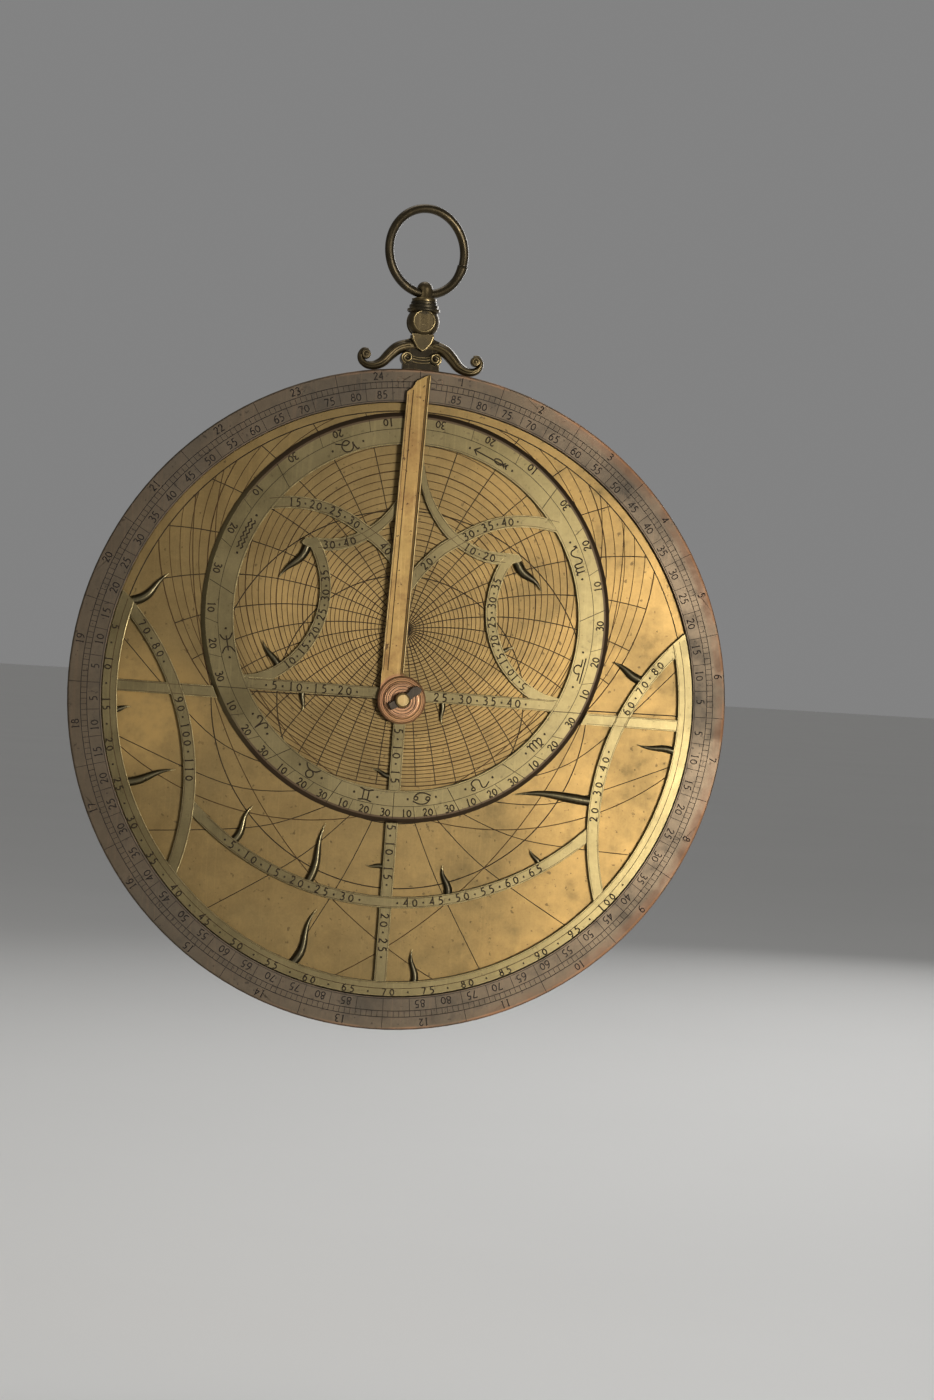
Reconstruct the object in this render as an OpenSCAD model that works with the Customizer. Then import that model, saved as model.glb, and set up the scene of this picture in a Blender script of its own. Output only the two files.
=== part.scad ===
// Planispheric astrolabe, hanging from its ring, front face towards -Y.
// The origin is the hang point: the inside of the ring, at its top.
// Every drawing below is made about the pivot in millimetres: X to the right, Y up the instrument.

/* [Body] */
// Radius of the disc over the limb
disc_r = 100; // [99:0.5:102]
// Radius of the recess inside the limb
womb_r = 90; // [89.9:0.1:91]
// Thickness of the back plate
plate_t = 1.6; // [1.2:0.1:2.4]
// Height of the limb above the back plate
limb_t = 3.4; // [3.3:0.1:4.2]
// Thickness of each latitude plate
tympan_t = 0.7; // [0.5:0.05:0.7]

/* [Rete] */
// Thickness of the pierced star map
rete_t = 1.2; // [0.9:0.1:1.2]
// Turn of the star map at rest, clockwise from upright
rete_turn = 0.9; // [0:0.1:2]
// Height of the ecliptic ring's centre above the pivot
ecliptic_up = 24.9; // [24.7:0.1:25]
// Inner radius of the ecliptic ring
ecliptic_in_r = 52.4; // [52:0.1:53]
// Radius where the ecliptic ring's bevelled edge starts
ecliptic_flat_r = 60.8; // [60.4:0.1:61.2]
// Outer radius of the ecliptic ring at the foot of its bevel
ecliptic_out_r = 62.1; // [61.8:0.1:62.4]
// Inner radius of the outer rim
rim_in_r = 85.3; // [84.9:0.1:85.6]
// Outer radius of the outer rim
rim_out_r = 89.7; // [89.3:0.1:89.8]

/* [Rule and alidade] */
// Turn of the rule at rest, clockwise from upright
rule_turn = 1.8; // [0:0.1:4]
// Width of the rule
rule_w = 6.8; // [6:0.1:8]
// Length of the rule from the pivot to its tip
rule_len = 98.4; // [96:0.1:99]
// Half length of the alidade on the back
alidade_len = 96; // [92:0.5:98]
// Width of the alidade
alidade_w = 12; // [11.5:0.5:14]

/* [Suspension] */
// Radius of the ring to the middle of its wire
ring_r = 12.9; // [12.7:0.1:13.1]
// Thickness of the ring's wire
ring_wire = 2.7; // [2.4:0.1:2.8]
// Turn of the ring about the upright axis at rest
ring_turn = 22; // [0:1:30]
// Height of the ring's middle above the pivot of the disc
ring_up = 135.9; // [135.8:0.1:136.1]

/* [Hidden] */
$fn = 96;
far = 400;

// Running clearance of a shaft in its hole, and the play between sliding faces.
run_gap = 0.05;
face_gap = 0.1;

// Layers through the thickness, as Y of their front faces. The disc is centred on Y = 0.
body_t = plate_t + limb_t;
back_y = body_t / 2;
womb_y = back_y - plate_t;
limb_y = -body_t / 2;
tympans_y = womb_y - 3 * tympan_t;
rete_y = tympans_y - face_gap;
rule_y = limb_y - 0.12;
rule_t = 1.3;
boss_t = 1.7;
washer_y = rule_y - boss_t - face_gap / 2;
washer_t = 0.7;
wedge_y = washer_y - washer_t - 0.08;
wedge_t = 1.7;
pin_front_y = wedge_y - wedge_t - 1.2;
back_washer_t = 0.6;
alidade_t = 1.8;
alidade_y = back_y + 2 * face_gap + back_washer_t;
pin_head_y = alidade_y + alidade_t + face_gap;
pin_head_t = 1.8;

// Height of the disc's pivot in the row's frame.
hang_r = ring_r - ring_wire / 2;
pivot_z = -(ring_up + hang_r);

pin_r = 2.15;
pin_hole_r = pin_r + run_gap;
edge_bevel = 0.4;

// Suspension, as heights above the disc's pivot.
shackle_up = 114.5;
shackle_r = 5.05;
shackle_flat = 3.75;
fork_gap = 2.8;
throne_t = 2.6;
tab_r = 2.9;
shackle_pin_r = 1.2;
collar_top = 120.6;
eye_r = 2.4;
eye_top = 126.8;
eye_hole_r = 1.65;
stem_r = 1.25;
rivet_head_r = 1.95;
rivet_head_t = 0.8;

// Rete bars. Inside the ecliptic ring the bar stands above the east-west line, outside it hangs below.
bar_w = 3.5;
hub_r = 6.8;
meridian_w = 3.7;

// Straps of the rete: arc centres, mean radii and widths.
side_centre = [140.6, -32.5];
side_r = 79;
side_w = 3.7;
lower_centre = [0, 25];
lower_r = 86.3;
lower_w = 3.4;
lens_centre = [54.3, 30];
lens_r = 29;
lens_w = 3.3;
lens_from = 154.6;
lens_to = 240;
lens_head = [[28.9, 46.9], [32.5, 46.6], [33.6, 45.2], [32.9, 44.4], [30.9, 43.9]];
lens_foot = [[41.4, 5.9], [44.4, 4.8], [49.5, 3.8], [49.5, 3], [39.3, 3]];
crown_low_path = [[44, 56.1], [38, 56.9], [32, 56.8], [26, 55.7], [20, 53.3], [14.5, 50], [9, 46.2],
    [4, 41], [0.9, 36.9], [-1.2, 33.6]];
crown_low_w = 3.6;
crown_high_path = [[0, 79], [0.6, 72], [2, 66], [4.5, 60], [8, 54.7], [12, 50.6], [17, 47.4], [22.5, 45.4],
    [29.4, 44.9]];
crown_high_w = 3.8;

// Star pointers: base X, base Y, tip X, tip Y, width at the base, S-bow and C-bow of the flame.
STARS = [
    [-82.7, 23.6, -72.4, 32.6, 2.8, -0.04, -0.07], [-86.2, -9.1, -80.7, -8.0, 1.7, -0.04, 0],
    [-81.4, -30.6, -66.0, -25.8, 2.6, -0.03, 0], [-47.6, -46.4, -42.0, -34.9, 2.3, -0.05, 0],
    [-24.0, -57.0, -19.9, -38.8, 2.5, -0.03, -0.015], [-27.8, -82.6, -20.6, -64.8, 2.5, -0.05, -0.03],
    [10.2, -86.2, 9.2, -75.2, 2.1, -0.05, -0.015], [-1.2, -50.8, -6.7, -50.5, 1.5, -0.04, 0],
    [-1.2, -23.2, -7.2, -21.4, 1.5, 0.05, 0], [18.8, -58.6, 16.6, -49.0, 2.3, -0.05, 0],
    [46.2, -47.4, 42.9, -42.3, 1.7, -0.05, 0], [60.4, -26.6, 36.6, -26.2, 2.7, 0.01, -0.042],
    [86.2, -9.9, 73.6, -8.2, 2.3, -0.03, -0.01], [73.6, 11.2, 63.9, 16.4, 2.7, 0.03, 0],
    [32.3, 44.2, 40.3, 36.0, 2.8, -0.05, 0], [28.4, 16.6, 33.5, 18.4, 1.4, -0.04, 0],
    [12.4, 0.8, 13.1, -6.6, 1.6, 0.04, 0], [-29.7, 0.8, -29.5, -5.5, 1.6, -0.04, 0],
    [-37.4, 7.1, -43.0, 15.0, 2.1, -0.03, 0.03], [-31.6, 44.5, -39.6, 34.0, 2.6, 0.04, 0.04]];

// Throne arms, right side, from the centre plate to the curl that carries the ball.
arm_path = [[4.4, 106.6], [7.4, 106.2], [9.8, 104.0], [12, 101.4], [14.2, 100.1], [16.4, 100.5], [17.7, 102.1],
    [17.4, 103.7]];
arm_start_w = 3;
arm_swell = 0.9;
arm_end_w = 1.5;
ball_at = [16.7, 103.9];
ball_r = 1.75;
volute_at = [4.3, 103.4];
volute_r = 1.9;
tenon_w = 18;
tenon_deep = 6;
tenon_t = 1.5;
throne_rivet_at = [6, 96.4];
throne_rivet_r = 0.9;
limb_rivet_r = 0.9;
limb_rivet_at_r = 97.6;
limb_rivet_count = 8;
stud_r = 1;
stud_at_r = 88.3;

// Sight vanes on the alidade.
vane_at = 72;
vane_w = 11;
vane_t = 1.3;
vane_h = 14;
knuckle_r = 1.25;
knuckle_w = 6;
ear_r = 1.35;
ear_w = 2.2;
vane_pin_r = 0.6;
vane_axis_y = alidade_y + alidade_t + 1.35;

wedge_tilt = 31;
wedge_slot_w = 2.8;

// Curves.
function arc(c, r, from, to, steps) =
    [for (i = [0:steps]) let (a = from + (to - from) * i / steps) c + r * [cos(a), sin(a)]];

// A point on a smooth curve through four points, between the middle two.
function blend_point(a, b, c, d, t) =
    0.5 * (2 * b + (c - a) * t + (2 * a - 5 * b + 4 * c - d) * t * t + (3 * b - a - 3 * c + d) * t * t * t);

function smooth_path(p, steps) = let (last = len(p) - 1) concat(
    [for (i = [0:last - 1]) for (k = [0:steps - 1])
        blend_point(p[max(i - 1, 0)], p[i], p[i + 1], p[min(i + 2, last)], k / steps)], [p[last]]);

function unit(v) = v / norm(v);

function side_of(p, i) = let (d = unit(p[min(i + 1, len(p) - 1)] - p[max(i - 1, 0)])) [-d[1], d[0]];

// Outline of a band along a path, with a width that runs from w0 to w1 and may swell on the way.
function half_width(s, w0, w1, swell) = (w0 + (w1 - w0) * s + swell * sin(180 * s)) / 2;

function band(p, w0, w1, swell = 0) = let (last = len(p) - 1) concat(
    [for (i = [0:last]) p[i] + side_of(p, i) * half_width(i / last, w0, w1, swell)],
    [for (i = [last:-1:0]) p[i] - side_of(p, i) * half_width(i / last, w0, w1, swell)]);

// Outline of a flame-shaped pointer. It starts a little inside what carries it.
function flame_half(s, w) = w / 2 * pow(max(1 - s, 0), 0.8) * (1 + 0.35 * sin(180 * s));

function flame(b, t, w, s_bow, c_bow) = let (
    run = norm(t - b),
    u = unit(t - b),
    n = [-u[1], u[0]],
    steps = [for (i = [0:10]) i / 10],
    spine = [for (s = steps) b + u * run * s + n * run * (s_bow * sin(360 * s) + c_bow * sin(180 * s))])
    concat([for (i = [0:len(steps) - 1]) spine[i] + n * flame_half(steps[i], w)],
        [for (i = [len(steps) - 2:-1:0]) spine[i] - n * flame_half(steps[i], w)]);

// Placing: a drawing about the disc's pivot becomes a layer from y0 towards the front.
module on_disc() {
    translate([0, 0, pivot_z])
        children();
}

module layer(y0, t) {
    translate([0, y0, 0])
        rotate([90, 0, 0])
            linear_extrude(t)
                children();
}

module both_sides() {
    children();
    mirror([1, 0])
        children();
}

// A round bar along Y from y0 towards the front.
module rod(x, z, r, y0, length) {
    translate([x, y0, z])
        rotate([90, 0, 0])
            cylinder(r = r, h = length);
}

module ring2d(r_out, r_in) {
    difference() {
        circle(r = r_out, $fn = 180);
        circle(r = r_in, $fn = 180);
    }
}

// A disc or ring whose front outer edge is bevelled.
module bevelled_disc(r, t, y0, bevel) {
    translate([0, y0, 0])
        rotate([90, 0, 0])
            rotate_extrude($fn = 180)
                polygon([[0, 0], [r, 0], [r, t - bevel], [r - bevel, t], [0, t]]);
}

// Suspension.
module suspension_ring() {
    split_gap = 0.15;
    split_angle = -13;
    color("#5f5032")
        translate([0, 0, -hang_r])
            rotate([0, 0, ring_turn])
                rotate([90, 0, 0])
                    difference() {
                        rotate_extrude()
                            translate([ring_r, 0])
                                circle(d = ring_wire, $fn = 32);
                        rotate([0, 0, split_angle])
                            translate([ring_r, 0, 0])
                                rotate([0, 0, 35])
                                    cube([ring_wire * 2, split_gap, ring_wire * 2], center = true);
                    }
}

module swivel_eye() {
    flange_r = 3.7;
    flange_t = 0.9;
    head_top = collar_top - 2.3;
    color("#4f452b")
        on_disc()
            difference() {
                union() {
                    translate([0, 0, collar_top + face_gap / 2])
                        cylinder(r = flange_r, h = flange_t);
                    translate([0, 0, collar_top + flange_t])
                        cylinder(r = eye_r, h = eye_top - eye_r - collar_top - flange_t);
                    translate([0, 0, eye_top - eye_r])
                        sphere(r = eye_r, $fn = 48);
                    translate([0, 0, head_top - rivet_head_t])
                        cylinder(r = stem_r, h = collar_top + flange_t - head_top + rivet_head_t);
                    translate([0, 0, head_top - rivet_head_t])
                        cylinder(r = rivet_head_r, h = rivet_head_t);
                }
                translate([0, 0, ring_up - ring_r])
                    rotate([0, 0, ring_turn])
                        rotate([0, 90, 0])
                            cylinder(r = eye_hole_r, h = 4 * eye_r, center = true);
            }
}

// Fork that turns on the throne's tab: an urn with three collars, flats and pointed tongues.
module shackle() {
    tongue = [[-3.3, 110.6], [-3.3, 109], [-1.7, 106.4], [0, 105.3], [1.7, 106.4], [3.3, 109], [3.3, 110.6]];
    tongue_y = 2.9;
    neck_z = 117.4;
    head_top = collar_top - 2.3;
    chamber_low = head_top - rivet_head_t - run_gap;
    collars = [[0, neck_z], [4.6, neck_z], [4.95, neck_z + 0.3], [4.95, neck_z + 0.9], [4.3, neck_z + 1.2],
        [4.4, neck_z + 1.6], [4.4, neck_z + 2.1], [3.85, neck_z + 2.4], [3.95, neck_z + 2.7],
        [3.95, collar_top - 0.2], [3.75, collar_top], [0, collar_top]];
    color("#63552f")
        on_disc()
            difference() {
                union() {
                    translate([0, 0, shackle_up])
                        intersection() {
                            sphere(r = shackle_r, $fn = 64);
                            cube([far, 2 * shackle_flat, far], center = true);
                        }
                    rotate_extrude()
                        polygon(collars);
                    layer(tongue_y, 2 * tongue_y)
                        polygon(tongue);
                }
                translate([-far / 2, -fork_gap / 2, shackle_up - far])
                    cube([far, fork_gap, far + tab_r + 0.25]);
                translate([0, 0, chamber_low])
                    cylinder(r = rivet_head_r + 0.15, h = head_top - chamber_low + run_gap);
                cylinder(r = stem_r + run_gap, h = far);
                rod(0, shackle_up, shackle_pin_r, far / 2, far);
            }
}

module shackle_pin() {
    color("#7a6638")
        on_disc()
            rod(0, shackle_up, shackle_pin_r, shackle_flat, 2 * shackle_flat);
}

// Throne: the bracket on top of the disc.
module throne_outline() {
    difference() {
        union() {
            polygon([[-5.6, 98], [5.6, 98], [5.6, 101.6], [4.4, 102], [3.2, 103.4], [3.4, 105.2], [5.2, 105.7],
                [5.2, 108.7], [tab_r, 109.6], [tab_r, shackle_up], [-tab_r, shackle_up], [-tab_r, 109.6],
                [-5.2, 108.7], [-5.2, 105.7], [-3.4, 105.2], [-3.2, 103.4], [-4.4, 102], [-5.6, 101.6]]);
            translate([0, shackle_up])
                circle(r = tab_r);
        }
        circle(r = disc_r, $fn = 180);
        both_sides()
            translate(volute_at)
                circle(r = volute_r);
    }
}

module tenon() {
    translate([-tenon_w / 2, womb_y / 2 - 1.25 - tenon_t / 2, disc_r - tenon_deep])
        cube([tenon_w, tenon_t, tenon_deep]);
}

module throne_plate() {
    color("#64553a")
        on_disc()
            difference() {
                union() {
                    layer(throne_t / 2, throne_t)
                        throne_outline();
                    intersection() {
                        tenon();
                        rod(0, 0, disc_r, far / 2, far);
                    }
                }
                rod(0, shackle_up, shackle_pin_r + run_gap, far / 2, far);
                for (x = [-1, 1])
                    rod(x * throne_rivet_at[0], throne_rivet_at[1], throne_rivet_r, far / 2, far);
            }
}

module throne_volutes() {
    volute_len = 4.2;
    eye_len = 4.8;
    color("#5c4e35")
        on_disc()
            for (x = [-1, 1]) {
                rod(x * volute_at[0], volute_at[1], volute_r, volute_len / 2, volute_len);
                rod(x * volute_at[0], volute_at[1], volute_r * 0.45, eye_len / 2, eye_len);
            }
}

module throne_arm() {
    layer(throne_t / 2, throne_t)
        difference() {
            polygon(band(smooth_path(arm_path, 5), arm_start_w, arm_end_w, arm_swell));
            circle(r = disc_r, $fn = 180);
            polygon([[0, 98], [5.2, 98], [5.2, 110], [0, 110]]);
        }
    translate([ball_at[0], 0, ball_at[1]])
        sphere(r = ball_r, $fn = 40);
}

module throne_arm_right() {
    color("#63553b")
        on_disc()
            throne_arm();
}

module throne_arm_left() {
    color("#63553b")
        on_disc()
            mirror([1, 0, 0])
                throne_arm();
}

module throne_rivets() {
    color("#6b5c40")
        on_disc()
            for (x = [-1, 1])
                rod(x * throne_rivet_at[0], throne_rivet_at[1], throne_rivet_r, back_y, body_t);
}

// Mater: back plate, limb and what fastens them.
module limb_rivet_places() {
    for (i = [0:limb_rivet_count - 1])
        rotate(360 / limb_rivet_count * (i + 0.5))
            translate([limb_rivet_at_r, 0])
                circle(r = limb_rivet_r, $fn = 24);
}

module throne_rivet_places() {
    both_sides()
        translate(throne_rivet_at)
            circle(r = throne_rivet_r, $fn = 24);
}

module mater_plate() {
    color("#8f7440")
        on_disc()
            difference() {
                translate([0, back_y, 0])
                    rotate([90, 0, 0])
                        rotate_extrude($fn = 180)
                            polygon([[0, 0], [disc_r - edge_bevel, 0], [disc_r, edge_bevel], [disc_r, plate_t],
                                [0, plate_t]]);
                layer(far / 2, far) {
                    circle(r = pin_hole_r);
                    limb_rivet_places();
                    throne_rivet_places();
                    translate([0, -stud_at_r])
                        circle(r = stud_r, $fn = 24);
                }
            }
}

module limb_ring() {
    color("#6d5c48")
        on_disc()
            difference() {
                bevelled_disc(disc_r, limb_t, womb_y, edge_bevel);
                layer(far / 2, far) {
                    circle(r = womb_r, $fn = 180);
                    limb_rivet_places();
                    throne_rivet_places();
                }
                tenon();
            }
}

module limb_rivets() {
    color("#5d4f3e")
        on_disc()
            layer(back_y, body_t)
                limb_rivet_places();
}

module womb_stud() {
    color("#8a7040")
        on_disc()
            rod(0, -stud_at_r, stud_r, back_y, back_y - tympans_y);
}

// Latitude plates, stacked in the womb and stopped from turning by the stud.
module tympan(y0) {
    tympan_r = womb_r - 0.2;
    color("#b08c4a")
        on_disc()
            layer(y0, tympan_t)
                difference() {
                    circle(r = tympan_r, $fn = 180);
                    circle(r = pin_hole_r);
                    translate([0, -stud_at_r])
                        circle(r = stud_r + run_gap, $fn = 24);
                    translate([-stud_r - run_gap, -far])
                        square([2 * (stud_r + run_gap), far - stud_at_r]);
                }
}

module tympan_back() {
    tympan(womb_y);
}

module tympan_middle() {
    tympan(womb_y - tympan_t);
}

module tympan_front() {
    tympan(womb_y - 2 * tympan_t);
}

// Rete: outlines of its members about the pivot, cut so that they meet face to face.
module side_reach(r) {
    both_sides()
        translate(side_centre)
            circle(r = r, $fn = 240);
}

module ecliptic_disc(r) {
    translate([0, ecliptic_up])
        circle(r = r, $fn = 180);
}

module rim2d() {
    intersection() {
        ring2d(rim_out_r, rim_in_r);
        union() {
            side_reach(side_r + side_w / 2);
            translate([-far / 2, -far])
                square([far, far]);
        }
    }
}

module side_straps2d() {
    intersection() {
        difference() {
            side_reach(side_r + side_w / 2);
            side_reach(side_r - side_w / 2);
        }
        circle(r = rim_in_r, $fn = 180);
    }
}

module lower_strap2d() {
    difference() {
        translate(lower_centre)
            ring2d(lower_r + lower_w / 2, lower_r - lower_w / 2);
        side_reach(side_r + side_w / 2);
        translate([-far / 2, -20])
            square([far, far]);
    }
}

module hub2d() {
    circle(r = hub_r);
}

module inner_bars2d() {
    intersection() {
        ecliptic_disc(ecliptic_in_r);
        union() {
            translate([-far / 2, -0.1])
                square([far, bar_w]);
            translate([-meridian_w / 2, -far])
                square([meridian_w, far]);
            hub2d();
        }
    }
}

module outer_bars2d() {
    difference() {
        intersection() {
            circle(r = rim_in_r, $fn = 180);
            union() {
                translate([-far / 2, 0.1 - bar_w])
                    square([far, bar_w]);
                translate([-meridian_w / 2, -far])
                    square([meridian_w, far]);
            }
        }
        ecliptic_disc(ecliptic_out_r);
        side_straps2d();
        lower_strap2d();
    }
}

module lens_straps2d() {
    outline = concat(arc(lens_centre, lens_r + lens_w / 2, lens_to, lens_from, 24), lens_head,
        arc(lens_centre, lens_r - lens_w / 2, lens_from - 2.6, lens_to - 4.5, 24), lens_foot);
    difference() {
        both_sides()
            polygon(outline);
        inner_bars2d();
        ecliptic_disc_outside();
    }
}

module ecliptic_disc_outside() {
    difference() {
        translate([0, ecliptic_up])
            circle(r = far / 2);
        ecliptic_disc(ecliptic_in_r);
    }
}

module crown_straps2d() {
    seam = 0.05;
    difference() {
        both_sides()
            intersection() {
                union() {
                    polygon(band(smooth_path(crown_low_path, 4), crown_low_w, crown_low_w));
                    polygon(band(smooth_path(crown_high_path, 4), 1.6, crown_high_w));
                }
                translate([-seam, 0])
                    square([far, far]);
            }
        lens_straps2d();
        ecliptic_disc_outside();
    }
}

module on_rete() {
    on_disc()
        rotate([0, rete_turn, 0])
            children();
}

module rete_part() {
    on_rete()
        layer(rete_y, rete_t)
            children();
}

module rete_rim() {
    color("#a3955a")
        rete_part()
            rim2d();
}

module ecliptic_ring() {
    color("#a99b5e")
        on_rete()
            translate([0, rete_y, ecliptic_up])
                rotate([90, 0, 0])
                    rotate_extrude($fn = 180)
                        polygon([[ecliptic_in_r, 0], [ecliptic_out_r, 0], [ecliptic_out_r, rete_t * 0.25],
                            [ecliptic_flat_r, rete_t], [ecliptic_in_r, rete_t]]);
}

module rete_inner_bars() {
    color("#a2945c")
        on_rete()
            difference() {
                layer(rete_y, rete_t)
                    inner_bars2d();
                rod(0, 0, pin_hole_r, far / 2, far);
            }
}

module rete_outer_bars() {
    color("#a2945c")
        rete_part()
            outer_bars2d();
}

module rete_side_straps() {
    color("#a59759")
        rete_part()
            side_straps2d();
}

module rete_lower_strap() {
    color("#9f9158")
        rete_part()
            lower_strap2d();
}

module rete_lens_straps() {
    color("#988b57")
        rete_part()
            lens_straps2d();
}

module rete_crown_straps() {
    color("#9d9060")
        rete_part()
            crown_straps2d();
}

module star_pointers() {
    color("#3d3424")
        rete_part()
            difference() {
                for (s = STARS)
                    polygon(flame([s[0], s[1]], [s[2], s[3]], s[4], s[5], s[6]));
                ring2d(far / 4, rim_in_r);
                ecliptic_ring2d();
                inner_bars2d();
                outer_bars2d();
                side_straps2d();
                lower_strap2d();
                lens_straps2d();
                crown_straps2d();
            }
}

module ecliptic_ring2d() {
    difference() {
        ecliptic_disc(ecliptic_out_r);
        ecliptic_disc(ecliptic_in_r);
    }
}

// Rule on the front. Its right-hand edge is the fiducial edge and passes through the pivot.
module rule() {
    fid = 1.1;
    edge_t = 0.6;
    tip = [[-rule_w, 0], [-rule_w, rule_len - 5.6], [-rule_w + 1.6, rule_len - 4.3], [-rule_w + 2.6, rule_len - 2.2],
        [-0.9, rule_len - 0.2], [0, rule_len], [0, 0]];
    boss_r = 7.3;
    color("#cda256")
        on_disc()
            rotate([0, rule_turn, 0])
                difference() {
                    union() {
                        difference() {
                            layer(rule_y, rule_t)
                                polygon(tip);
                            translate([0, rule_y - edge_t, boss_r])
                                rotate([0, 0, atan2(rule_t - edge_t, fid)])
                                    translate([-far, -far, 0])
                                        cube([2 * far, far, far]);
                        }
                        bevelled_disc(boss_r, boss_t, rule_y, 0.35);
                    }
                    rod(0, 0, pin_hole_r, far / 2, far);
                }
}

// Pin, wedge and washers.
module front_washer() {
    washer_r = 5.3;
    color("#b0704a")
        on_disc()
            difference() {
                bevelled_disc(washer_r, washer_t, washer_y, 0.25);
                rod(0, 0, pin_r + 0.02, far / 2, far);
            }
}

module wedge() {
    outline = [[-4.4, -1.1], [1.6, -1.25], [2.6, -1], [3.6, -0.7], [5.4, -0.8], [6.4, -0.2], [6.6, 0.6],
        [6, 1.7], [4.8, 2.1], [3.6, 1.8], [2.5, 1.3], [1.6, 1.3], [-4.4, 1.1]];
    color("#4a4038")
        on_disc()
            rotate([0, -wedge_tilt, 0])
                layer(wedge_y, wedge_t)
                    polygon(outline);
}

module centre_pin() {
    head_r = 6;
    pin_len = pin_head_y - pin_front_y;
    color("#d8bd74")
        on_disc()
            difference() {
                union() {
                    bevelled_disc(pin_r, pin_len, pin_head_y, 0.5);
                    translate([0, pin_head_y + pin_head_t, 0])
                        rotate([90, 0, 0])
                            rotate_extrude()
                                polygon([[0, 0], [head_r - 0.9, 0], [head_r, 0.9], [head_r, pin_head_t],
                                    [0, pin_head_t]]);
                }
                rotate([0, -wedge_tilt, 0])
                    translate([-far / 2, wedge_y - wedge_t - face_gap / 2, -wedge_slot_w / 2])
                        cube([far, wedge_t + face_gap, wedge_slot_w]);
            }
}

module back_washer() {
    washer_r = 7;
    color("#a3804a")
        on_disc()
            difference() {
                rod(0, 0, washer_r, back_y + face_gap + back_washer_t, back_washer_t);
                rod(0, 0, pin_r + 0.02, far / 2, far);
            }
}

// Alidade on the back, with two folding sight vanes.
module alidade_outline() {
    half = alidade_w / 2;
    shoulder = alidade_len - 7;
    boss_r = 9.5;
    difference() {
        union() {
            polygon([[0, alidade_len], [half - 1.5, shoulder + 1], [half, shoulder - 3], [half, -shoulder + 3],
                [half - 1.5, -shoulder - 1], [0, -alidade_len], [-half + 1.5, -shoulder - 1],
                [-half, -shoulder + 3], [-half, shoulder - 3], [-half + 1.5, shoulder + 1]]);
            circle(r = boss_r);
        }
        circle(r = pin_hole_r);
    }
}

module vane_ear(z) {
    for (x = [-1, 1])
        translate([x * (knuckle_w / 2 + run_gap + ear_w / 2), vane_axis_y, z])
            rotate([0, 90, 0])
                cylinder(r = ear_r, h = ear_w, center = true);
}

module alidade() {
    color("#b18f4d")
        on_disc()
            difference() {
                union() {
                    layer(alidade_y + alidade_t, alidade_t)
                        alidade_outline();
                    for (z = [-vane_at, vane_at]) {
                        vane_ear(z);
                        for (x = [-1, 1])
                            translate([x * (knuckle_w / 2 + run_gap + ear_w / 2), alidade_y + alidade_t + 0.5, z])
                                cube([ear_w, 1.2, 2 * ear_r], center = true);
                    }
                }
                for (z = [-vane_at, vane_at])
                    translate([0, vane_axis_y, z])
                        rotate([0, 90, 0])
                            cylinder(r = vane_pin_r, h = alidade_w * 2, center = true);
            }
}

module vane_hinge_pins() {
    color("#8b6f3c")
        on_disc()
            for (z = [-vane_at, vane_at])
                translate([0, vane_axis_y, z])
                    rotate([0, 90, 0])
                        cylinder(r = vane_pin_r, h = knuckle_w + 2 * run_gap + 2 * ear_w, center = true);
}

// A vane stands out from the back, with a coarse and a fine sight hole.
module sight_vane() {
    half = vane_w / 2;
    start = ear_r + 0.35;
    arch_r = 3;
    color("#b9964f")
        difference() {
            union() {
                translate([0, 0, -vane_t / 2])
                    linear_extrude(vane_t) {
                        polygon([[-half, start], [half, start], [half, vane_h - 6], [half - 1.2, vane_h - 4.6],
                            [arch_r, vane_h - 4], [arch_r, vane_h - arch_r], [-arch_r, vane_h - arch_r],
                            [-arch_r, vane_h - 4], [-half + 1.2, vane_h - 4.6], [-half, vane_h - 6]]);
                        translate([0, vane_h - arch_r])
                            circle(r = arch_r);
                        translate([-knuckle_w / 2, 0])
                            square([knuckle_w, start + 1]);
                    }
                rotate([0, 90, 0])
                    cylinder(r = knuckle_r, h = knuckle_w, center = true);
            }
            rotate([0, 90, 0])
                cylinder(r = vane_pin_r + run_gap, h = far, center = true);
            translate([0, 4.6, -far / 2])
                cylinder(r = 1.1, h = far, $fn = 32);
            translate([0, vane_h - arch_r, -far / 2])
                cylinder(r = 0.6, h = far, $fn = 32);
        }
}

module sight_vane_upper() {
    on_disc()
        translate([0, vane_axis_y, vane_at])
            sight_vane();
}

module sight_vane_lower() {
    on_disc()
        translate([0, vane_axis_y, -vane_at])
            sight_vane();
}

suspension_ring();
swivel_eye();
shackle();
shackle_pin();
throne_plate();
throne_volutes();
throne_arm_left();
throne_arm_right();
throne_rivets();
mater_plate();
limb_ring();
limb_rivets();
womb_stud();
tympan_back();
tympan_middle();
tympan_front();
rete_rim();
ecliptic_ring();
rete_inner_bars();
rete_outer_bars();
rete_side_straps();
rete_lower_strap();
rete_lens_straps();
rete_crown_straps();
star_pointers();
rule();
front_washer();
wedge();
centre_pin();
back_washer();
alidade();
sight_vane_upper();
sight_vane_lower();
vane_hinge_pins();
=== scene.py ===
"""Visual model of a hanging planispheric astrolabe.

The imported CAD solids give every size. This script adds what the engraver, the founder and four
centuries gave the real one: engraved projections, scales and signs, ridged star pointers, the
throne's cast scrolls, and aged brass, copper and iron.

Drawings are in millimetres about the disc's pivot, u to the right and v up, and are laid on a face.
"""

from __future__ import annotations

import logging
from dataclasses import dataclass, field, replace
from enum import Enum
from math import atan2, ceil, cos, degrees, dist, hypot, pi, radians, sin, sqrt, tan, tau
from typing import Iterable, Sequence

import bmesh
import bpy
from mathutils import Matrix, Vector

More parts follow.
